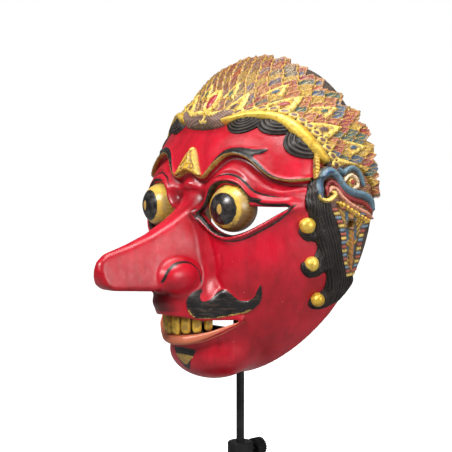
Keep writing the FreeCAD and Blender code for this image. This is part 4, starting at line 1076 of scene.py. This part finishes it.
def build_side_hair():
    points = side_grid(38.0, 84.0, 43.0, 127.0, 0.42)
    _, y, m = np.moveaxis(points, -1, 0)
    edge = inside(y - np.interp(m, (96.0, 112.0), (2.6, 0.0)), m, SIDE_HAIR)
    flow = along(y, m, HAIR_FLOW)[1]
    strand = flow * 4.4
    for curl_y, curl_m in CURLS:
        r = np.hypot(y - curl_y, m - curl_m)
        strand = np.where(r < CURL_RADIUS, r * 5.2, strand)
    wave = np.cos(strand)
    lock = smoothstep(0.0, -4.5, edge)
    relief = 0.3 + 3.6 * lock ** 0.55 + 0.32 * wave * smoothstep(0.0, -0.8, edge)
    relief += 0.7 * np.cos(flow * 0.85) * lock
    relief = np.where(edge < 0.0, relief, SUNK)
    # the crests of the waves get a painted highlight in the hair material
    left = carved_layer("side_hair_left", points, relief, attributes={"crest": 0.5 + 0.5 * wave})
    finish_sides(left, HAIR, "sideburn")


def stroke(relief, colour, y, m, curve, half, height, tint, beads=0.0):
    """Lay one rounded painted strand over the carving, tapering to its ends, with painted shade at its
    sides and a painted highlight along one side.
    """
    gap, side, place = along(y, m, smooth_curve(curve))
    width = half * np.clip(np.minimum(place * 8.0, (1.0 - place) * 8.0) + 0.45, 0.0, 1.0)
    a = gap / width
    rise = height * dome(a) ** 0.7
    if beads:
        rise = rise * (0.55 + 0.45 * np.abs(np.sin(place * math.pi * beads)))
    # painted shade where the rounded strand turns away at its sides
    tone = blend_colour(smoothstep(0.72, 1.0, a) * 0.7, tint, DIRT_AND_SHADE)
    # painted highlight: a lighter stripe along one side of the strand
    tone = blend_colour(0.45 * smoothstep(0.45, 0.0, np.abs(side / width - 0.25)), tone, tint * 1.7 + 0.05)
    return overlay(relief, colour, 2.0 + rise, tone, (a < 1.0) & (2.0 + rise > relief))


ORNAMENT = smooth_curve([
    (-3.4, 111.8), (-5, 119), (-2.6, 126.4), (2, 130), (8, 130.4), (13, 130.6), (20, 131.6), (27, 129.6),
    (33, 124), (37, 115), (37.6, 104), (33.5, 98.4), (27, 100.2), (18, 104.4), (9, 108.6),
    (2, 110)], True, 4)
DROP = smooth_curve([
    (2.8, 110.5), (5.0, 104), (8.2, 98), (10.6, 92), (12.4, 82), (14.2, 74), (18, 67.4), (21.6, 64.6),
    (25.4, 67.6), (27.0, 75), (27.4, 85), (29, 92.6), (33.4, 98.4), (28, 103), (14, 109)], True, 4)
WAVE = [(-2.6, 112.6), (-2.8, 118), (-1.4, 123), (2, 126.2), (5.8, 126.8), (9.4, 123.8), (13, 118.6),
        (19, 115.2), (27, 113.6), (32.6, 110.6), (34.6, 105)]
# painted strands of the ear ornament: points (Y, m), half-width, height, colour and number of beads
EAR_STRANDS = (
    (WAVE, 2.5, 4.4, BLUE_GREY, 0.0),
    (WAVE[:5], 1.5, 4.7, DEEP_BLUE, 0.0),
    ([(1.4, 114), (2, 119), (5, 121.8), (8.6, 119.2), (12.5, 114.6), (19, 111.2), (28, 108.8), (33.8, 104)],
     1.6, 3.0, MAROON, 0.0),
    ([(3.0, 115.6), (4.9, 118), (8, 116.6), (11.3, 112.8), (16.4, 109), (22.6, 106), (30, 103), (35, 99.6)],
     1.4, 3.3, PINK, 0.0),
    ([(-3.6, 114.4), (-2.4, 112), (0.4, 110.8), (3.4, 111.6), (6.4, 114.2), (4.6, 115.8)],
     1.5, 4.2, PALE_GOLD, 0.0),
    ([(8, 109.6), (13.1, 107.6), (17.6, 105), (22.4, 102.4), (27.5, 100.2), (33, 97.8)],
     1.9, 3.2, LEAF_GOLD * 1.1, 9.0),
    ([(10.6, 128.4), (13.6, 126.4), (16, 127.6), (20, 129), (24, 127.4), (26.6, 123), (27.4, 118.6)],
     1.7, 4.2, BLUE_GREY, 0.0),
    ([(13.4, 121.6), (16, 124), (19.4, 124.8), (22.6, 122.6), (23, 118.8), (19.4, 117.6)],
     1.3, 3.8, CREAM, 0.0))
EAR_STRIP = [(-0.4, 138.6), (-1.4, 133), (-2.6, 128), (-3.4, 122)]
EAR_BEAD = (18.6, 120.8)    # middle, (Y, m)
EAR_BEAD_RADIUS = 2.5


def build_ear_ornament():
    points = side_grid(44.0, 89.4, 94.0, 140.0, 0.34)
    _, y, m = np.moveaxis(points, -1, 0)
    edge = inside(y, m, ORNAMENT)
    field, colour = leaf_rows((m - 96.0) * 0.9 + 3.0, np.abs(y - 1.0), 5.2, 4.6, 7.6, 4.0)
    relief = np.where(edge < 0, 1.9 + field * 0.7, SUNK)
    for curve, half, height, tint, beads in EAR_STRANDS:
        relief, colour = stroke(relief, colour, y, m, curve, half, height, tint, beads)
    ball = np.hypot(y - EAR_BEAD[0], m - EAR_BEAD[1]) / EAR_BEAD_RADIUS
    tone = blend_colour(smoothstep(0.55, 0.75, ball), MAROON, PALE_GOLD)
    relief, colour = overlay(relief, colour, 3.6 + 2.4 * dome(ball), tone, ball < 1.0)
    relief, colour = stroke(relief, colour, y, m, EAR_STRIP, 1.4, 1.6, LEAF_GOLD, 9.0)
    # painted shade just inside the outline, where the ornament sinks into the skin
    colour = blend_colour(smoothstep(-0.7, 0.0, edge) * (edge < 0.3) * 0.6, colour, DIRT_AND_SHADE)
    left = carved_layer("ear_ornament_carving_left", points, relief, colour)
    finish_sides(left, RELIEF, "ear_ornament")


DROP_MIDDLE = smooth_curve([(17.6, 108), (18.6, 97), (19.6, 86), (20.4, 76), (21.6, 66)])


def build_ear_drop():
    points = side_grid(52.0, 88.0, 62.0, 112.0, 0.32)
    _, y, m = np.moveaxis(points, -1, 0)
    edge = inside(y, m, DROP)
    inner, _, place = along(y, m, DROP_MIDDLE)
    rim = smoothstep(-4.2, -3.6, edge)
    number = np.mod(np.floor(place * 17.0), 3)[..., None]
    step_place = np.mod(place * 17.0, 1.0)
    tint = np.select([number < 0.5, number < 1.5], [(0.44, 0.09, 0.06), PALE_GOLD], (0.16, 0.26, 0.36))
    rib = smoothstep(1.5, 0.8, inner)
    pane = smoothstep(0.4, -0.4, np.abs(inner - 3.0) - 1.2)
    pane = pane * smoothstep(0.25, 0.6, np.abs(np.sin(place * 12.0)))
    cord_gap = np.hypot((y - 18.2) * 0.98, m - CORD_HEIGHT)
    lip = bell(cord_gap - 3.0, 0.8)
    relief = 2.6 + rim * (0.5 + 1.2 * dome(2 * step_place - 1)) + (1 - rim) * (0.7 + 1.4 * rib - 0.5 * pane)
    relief = np.where((edge < 0) & (cord_gap > 2.05), relief + 0.6 * lip, -3.0)
    colour = blend_colour(0.5 + 0.5 * np.cos(place * 90 + inner * 2.2), LEAF_GOLD, (0.22, 0.11, 0.03))
    colour = blend_colour(pane, colour, (0.05, 0.12, 0.19))
    colour = blend_colour(rib * 0.8, colour, (0.46, 0.17, 0.05))
    colour = blend_colour(rim, colour, tint)
    # painted shade in the hollows between the rim's beads
    gaps = smoothstep(0.35, 0.05, np.minimum(step_place, 1 - step_place))
    colour = blend_colour(rim * gaps * 0.8, colour, DIRT_AND_SHADE)
    # painted shade in the step where the rim drops to the middle
    colour = blend_colour(0.8 * bell(edge + 3.8, 0.35), colour, DIRT_AND_SHADE)
    colour = blend_colour(lip, colour, (0.05, 0.03, 0.02))
    left = carved_layer("ear_drop_carving_left", points, relief, colour, edge=-1.0)
    finish_sides(left, RELIEF, "ear_drop")


def skin_point(y, m):
    """The point of the left flank at this depth and height, with its outward direction."""
    wide, deep = sections(np.array(m))
    full = float(fullness(m))
    share = (abs(y - BACK) / deep) ** full
    x = float(wide * (1.0 - share) ** (1.0 / full))
    normal = skin_normal(np.array(x), np.array(float(y)), np.array(float(m)))
    return np.array([x, y, m]), normal


def ring_faces(rings, turns):
    """Quads between neighbouring rings of points."""
    faces = []
    for ring in range(rings):
        for k in range(turns):
            a, b = ring * turns + k, ring * turns + (k + 1) % turns
            faces.append([a, b, b + turns, a + turns])
    return faces


def revolved(profile, place, normal, seed, count=36):
    """Turn (radius, height) pairs about the direction given; slightly out of true, as carved by hand."""
    normal = normal / np.linalg.norm(normal)
    side = np.cross(normal, (0, 0, 1.0))
    side /= np.linalg.norm(side)
    up = np.cross(side, normal)
    vertices = []
    for r, h in profile[:-1]:
        for k in range(count):
            a = 2 * math.pi * k / count
            wobble = 1.0 + 0.02 * math.sin(3 * a + seed) + 0.015 * math.sin(5 * a + 2 * seed)
            vertices.append(place + normal * h + r * wobble * (side * math.cos(a) + up * math.sin(a)))
    vertices.append(place + normal * profile[-1][1])
    faces = ring_faces(len(profile) - 2, count)
    last = (len(profile) - 2) * count
    for k in range(count):
        faces.append([last + k, last + (k + 1) % count, len(vertices) - 1])
    faces.append(list(range(count))[::-1])
    return vertices, faces


def joined(name, shapes):
    vertices, faces = [], []
    for vs, fs in shapes:
        start = len(vertices)
        vertices += list(vs)
        faces += [[i + start for i in f] for f in fs]
    return mesh_object(name, np.array(vertices), faces)


BOSS_PROFILE = ((4.4, -1.0), (4.8, 1.6), (4.8, 2.6), (4.6, 3.4), (4.1, 4.5), (3.3, 5.3), (2.2, 5.9),
                (1.0, 6.2), (0.0, 6.3))
BOSS_PLACES = ((-9.0, 96.6), (-4.6, 74.2), (4.2, 52.6))


def build_bosses():
    shapes = []
    for n, (y, m) in enumerate(BOSS_PLACES):
        place, normal = skin_point(y, m)
        profile = [(r * (1.0 - 0.07 * n), h) for r, h in BOSS_PROFILE]
        shapes.append(revolved(profile, place, normal, n * 1.7))
        shapes.append(revolved(profile, place * (-1, 1, 1), normal * (-1, 1, 1), n * 2.3))
    finish_piece(joined("gilt_hair_bosses", shapes), GILDING, "gilt_bosses")


JEWEL = smooth_curve([
    (0, 141), (2.6, 139.2), (4.8, 136.4), (7.2, 132), (9.6, 127.8), (11, 124.8), (6, 125.4), (0, 126.8),
    (-6, 125.4), (-11, 124.8), (-9.6, 127.8), (-7.2, 132), (-4.8, 136.4), (-2.6, 139.2)], True)
JEWEL_SCROLL = smooth_curve([(0.6, 138), (2.6, 133), (5.6, 129.6), (4.8, 127.8), (3.0, 129.0), (3.4, 131)])


def build_jewel():
    points = side_grid(-15.0, 15.0, 123.0, 146.0, 0.26)
    x, _, m = np.moveaxis(points, -1, 0)
    ax = np.abs(x)
    edge = inside(x, m, JEWEL)
    scroll = along(ax, m, JEWEL_SCROLL)[0]
    relief = 1.2 + 1.9 * smoothstep(0.0, -2.6, edge) ** 0.6 - 0.8 * bell(scroll, 0.5)
    relief += 0.6 * bell(ax, 0.7) * (m > 131)
    relief = np.where(edge < 0, relief, SUNK)
    # painted shade: darker in the carved scroll groove and round the edge of the jewel
    colour = blend_colour(0.75 * bell(scroll, 0.6), LEAF_GOLD * 1.05, (0.20, 0.09, 0.02))
    colour = blend_colour(smoothstep(-0.8, 0.0, edge) * 0.5, colour, (0.2, 0.08, 0.02))
    jewel = carved_layer("brow_jewel_carving", points, relief, colour)
    finish_piece(jewel, RELIEF, "brow_jewel")


# ---------------------------------------------------------------- eyes and teeth
UP = np.array([0.0, 0.0, 1.0])
EYE_TURN = math.radians(11.7)    # how far each eye looks outward


def ball_angles(polars, turns):
    """Angle from the pole and angle round it, for every point of a ball made ring by ring."""
    polar, turn = np.meshgrid(polars, 2 * math.pi * np.arange(turns) / turns, indexing="ij")
    return polar.ravel(), turn.ravel()


def merge_doubles(obj):
    """Join points that coincide, as at a pole, and turn every face outward."""
    work = bmesh.new()
    work.from_mesh(obj.data)
    bmesh.ops.remove_doubles(work, verts=work.verts, dist=1e-7)
    bmesh.ops.recalc_face_normals(work, faces=work.faces)
    work.to_mesh(obj.data)
    work.free()


def build_eye(side, node, material):
    """A ball that looks a little outward, with the distances that its paint needs."""
    rings, turns = 72, 144
    gaze = np.array([side * math.sin(EYE_TURN), -math.cos(EYE_TURN), 0.0])
    polar, turn = ball_angles(math.pi * np.arange(rings + 1) / rings, turns)
    across, upward = np.sin(polar) * np.cos(turn), np.sin(polar) * np.sin(turn)
    out = np.outer(np.cos(polar), gaze) + np.outer(across, np.cross(UP, gaze)) + np.outer(upward, UP)
    behind = polar > math.pi / 2
    ring = EYE_RADIUS * np.sin(np.minimum(polar, math.pi / 2)) + 9 * behind
    spot = np.hypot((EYE_RADIUS * across + 0.4) / 1.7, EYE_RADIUS * upward / 2.9)
    # painted shade: a share that grows towards the lower, outer side of the ball
    low = np.maximum(0.0, 0.5 * side * out[:, 0] - 0.9 * out[:, 2]) * (polar > 0.6)
    attributes = {"ring": ring, "spoke": 0.5 + 0.28 * np.sin(31 * turn) + 0.22 * np.sin(47 * turn + 1.3),
                  "spot": np.where(polar < 1.5, spot, 5.0), "low": low}
    eye = mesh_object("painted_" + node, EYE_CENTRE * (side, 1, 1) + EYE_RADIUS * out,
                      ring_faces(rings, turns), attributes)
    merge_doubles(eye)
    finish_piece(eye, material, node)


def build_eyes():
    material = eye_paint()
    build_eye(1, "eyeball_left", material)
    build_eye(-1, "eyeball_right", material)


TOOTH_MIDDLE = 36.6    # height of the middle of the front teeth
TOOTH_HALF_DEPTH = 2.6
# upper teeth from the middle outward: X, Y, half-width and half-height
TEETH = ((2.9, -55.2, 3.05, 6.2), (8.4, -52.6, 3.0, 5.8), (13.6, -48.6, 2.85, 5.2), (18.2, -43.6, 2.5, 4.4))


def signed_power(value, power):
    return np.copysign(np.abs(value) ** power, value)


def tooth(x, y, m, half_width, half_height):
    """A rounded block that faces out of the curve of the mouth."""
    turn = math.atan2(y + 30.0, x * 1.4)
    out = np.array([math.cos(turn), math.sin(turn), 0.0])
    flat = np.array([-out[1], out[0], 0.0])
    rings, turns = 12, 20
    polar, angle = ball_angles(math.pi * (0.02 + 0.96 * np.arange(rings + 1) / rings), turns)
    across = signed_power(np.cos(angle), 0.6) * np.sin(polar) ** 0.5
    outward = signed_power(np.sin(angle), 0.8) * np.sin(polar) ** 0.6
    upward = signed_power(np.cos(polar), 0.7)
    vertices = (np.array([x, y, m]) + np.outer(half_width * across, flat)
                + np.outer(TOOTH_HALF_DEPTH * outward, out) + np.outer(half_height * upward, UP))
    ends = [list(range(turns))[::-1], [rings * turns + k for k in range(turns)]]
    return vertices, ring_faces(rings, turns) + ends


def build_teeth():
    shapes = []
    for side in (1, -1):
        for n, (x, y, half_width, half_height) in enumerate(TEETH):
            vertices, faces = tooth(x, y, TOOTH_MIDDLE + 0.3 * (n % 2) + 0.25 * n, half_width, half_height)
            shapes.append((vertices * (side, 1, 1), faces))
    teeth = joined("gilt_upper_teeth", shapes)
    merge_doubles(teeth)
    finish_piece(teeth, gilt_teeth(), "upper_teeth")


# ---------------------------------------------------------------- finishes of the CAD pieces that stay
BLACK_PARTS = ("base_plate", "socket_tube", "stop_collar", "upright_rod", "jaw_bracket", "bracket_socket",
               "collar_screw")


def dress_stand():
    for material, names in ((BLACK_STEEL, BLACK_PARTS), (PLAIN_STEEL, ("base_screw", "bracket_screws")),
                            (wool_felt(), ("base_felt",)), (wood(), ("nose_dowel", "eye_dowels"))):
        for name in names:
            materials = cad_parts[name].data.materials
            materials.clear()
            materials.append(material)


# ---------------------------------------------------------------- studio, in metres
LOOK_AT = (0.0, 0.0, 0.25)
# place, size, power and colour
LIGHTS = {"key": ((0.12, -0.92, 0.95), 0.38, 15.0, (1.0, 0.99, 0.97)),
          "side": ((1.1, 0.12, 0.45), 0.5, 6.0, (1.0, 0.99, 0.98)),
          "top": ((0.3, 0.0, 1.2), 0.5, 9.5, (1.0, 1.0, 1.0))}
SEEN_LEVEL = 1.0     # brightness of the surroundings to the camera
LIGHT_LEVEL = 0.16   # and as light on the object
FLOOR_HALF = 4000.0  # mm


def build_lights():
    for name, (place, size, power, colour) in LIGHTS.items():
        light = bpy.data.lights.new(name, "AREA")
        light.energy = power
        light.size = size
        light.color = colour
        obj = linked_object(name, light)
        obj.location = place
        obj.rotation_euler = (Vector(LOOK_AT) - Vector(place)).to_track_quat("-Z", "Y").to_euler()


def build_floor():
    """White paper that the camera sees as bright, and that throws little light back up."""
    corners = [(x, y, -CHIN - 0.2) for x, y in ((-1, -1), (1, -1), (1, 1), (-1, 1))]
    floor = mesh_object("floor", np.array(corners) * (FLOOR_HALF, FLOOR_HALF, 1.0), [[0, 1, 2, 3]])
    s = Shader("studio_paper")
    seen = s.add("LightPath", "Is Camera Ray", {})
    paper = s.mix(s.fit(s.noise(3.0), 0.3, 0.7), (0.90, 0.90, 0.90), (0.94, 0.94, 0.94))
    s.set(Base_Color=s.mix(seen, (0.30, 0.30, 0.30), paper), Roughness=0.9, Emission_Color=(1.0, 1.0, 1.0),
          Emission_Strength=s.calc("MULTIPLY", seen, 0.9))
    floor.data.materials.append(s.material)


def build_world():
    world = bpy.data.worlds.new("studio")
    bpy.context.scene.world = world
    world.use_nodes = True
    back = world.node_tree.nodes["Background"]
    back.inputs["Color"].default_value = (1.0, 1.0, 1.0, 1.0)
    path = world.node_tree.nodes.new("ShaderNodeLightPath")
    level = world.node_tree.nodes.new("ShaderNodeMapRange")
    level.inputs["To Min"].default_value = LIGHT_LEVEL
    level.inputs["To Max"].default_value = SEEN_LEVEL
    world.node_tree.links.new(path.outputs["Is Camera Ray"], level.inputs["Value"])
    world.node_tree.links.new(level.outputs["Result"], back.inputs["Strength"])
    bpy.context.scene.view_settings.view_transform = "Standard"


def build_camera():
    azimuth, elevation = math.radians(47.0), math.radians(3.5)
    distance, sideways, height = 0.8, -0.009, (CHIN + 93.0) * 0.001
    back = Vector((math.sin(azimuth) * math.cos(elevation), -math.cos(azimuth) * math.cos(elevation),
                   math.sin(elevation)))
    target = Vector((sideways * math.cos(azimuth), sideways * math.sin(azimuth), height))
    camera = linked_object("camera", bpy.data.cameras.new("camera"))
    camera.data.lens = 101.9
    camera.data.sensor_width = 36.0
    camera.location = target + back * distance
    camera.rotation_euler = (-back).to_track_quat("-Z", "Y").to_euler()
    bpy.context.scene.camera = camera


for build in (build_face, build_crown, build_diadem, build_lobes, build_gem, build_fringe, build_side_hair,
              build_ear_ornament, build_ear_drop, build_bosses, build_jewel, build_eyes, build_teeth,
              dress_stand, build_floor, build_world, build_lights, build_camera):
    build()
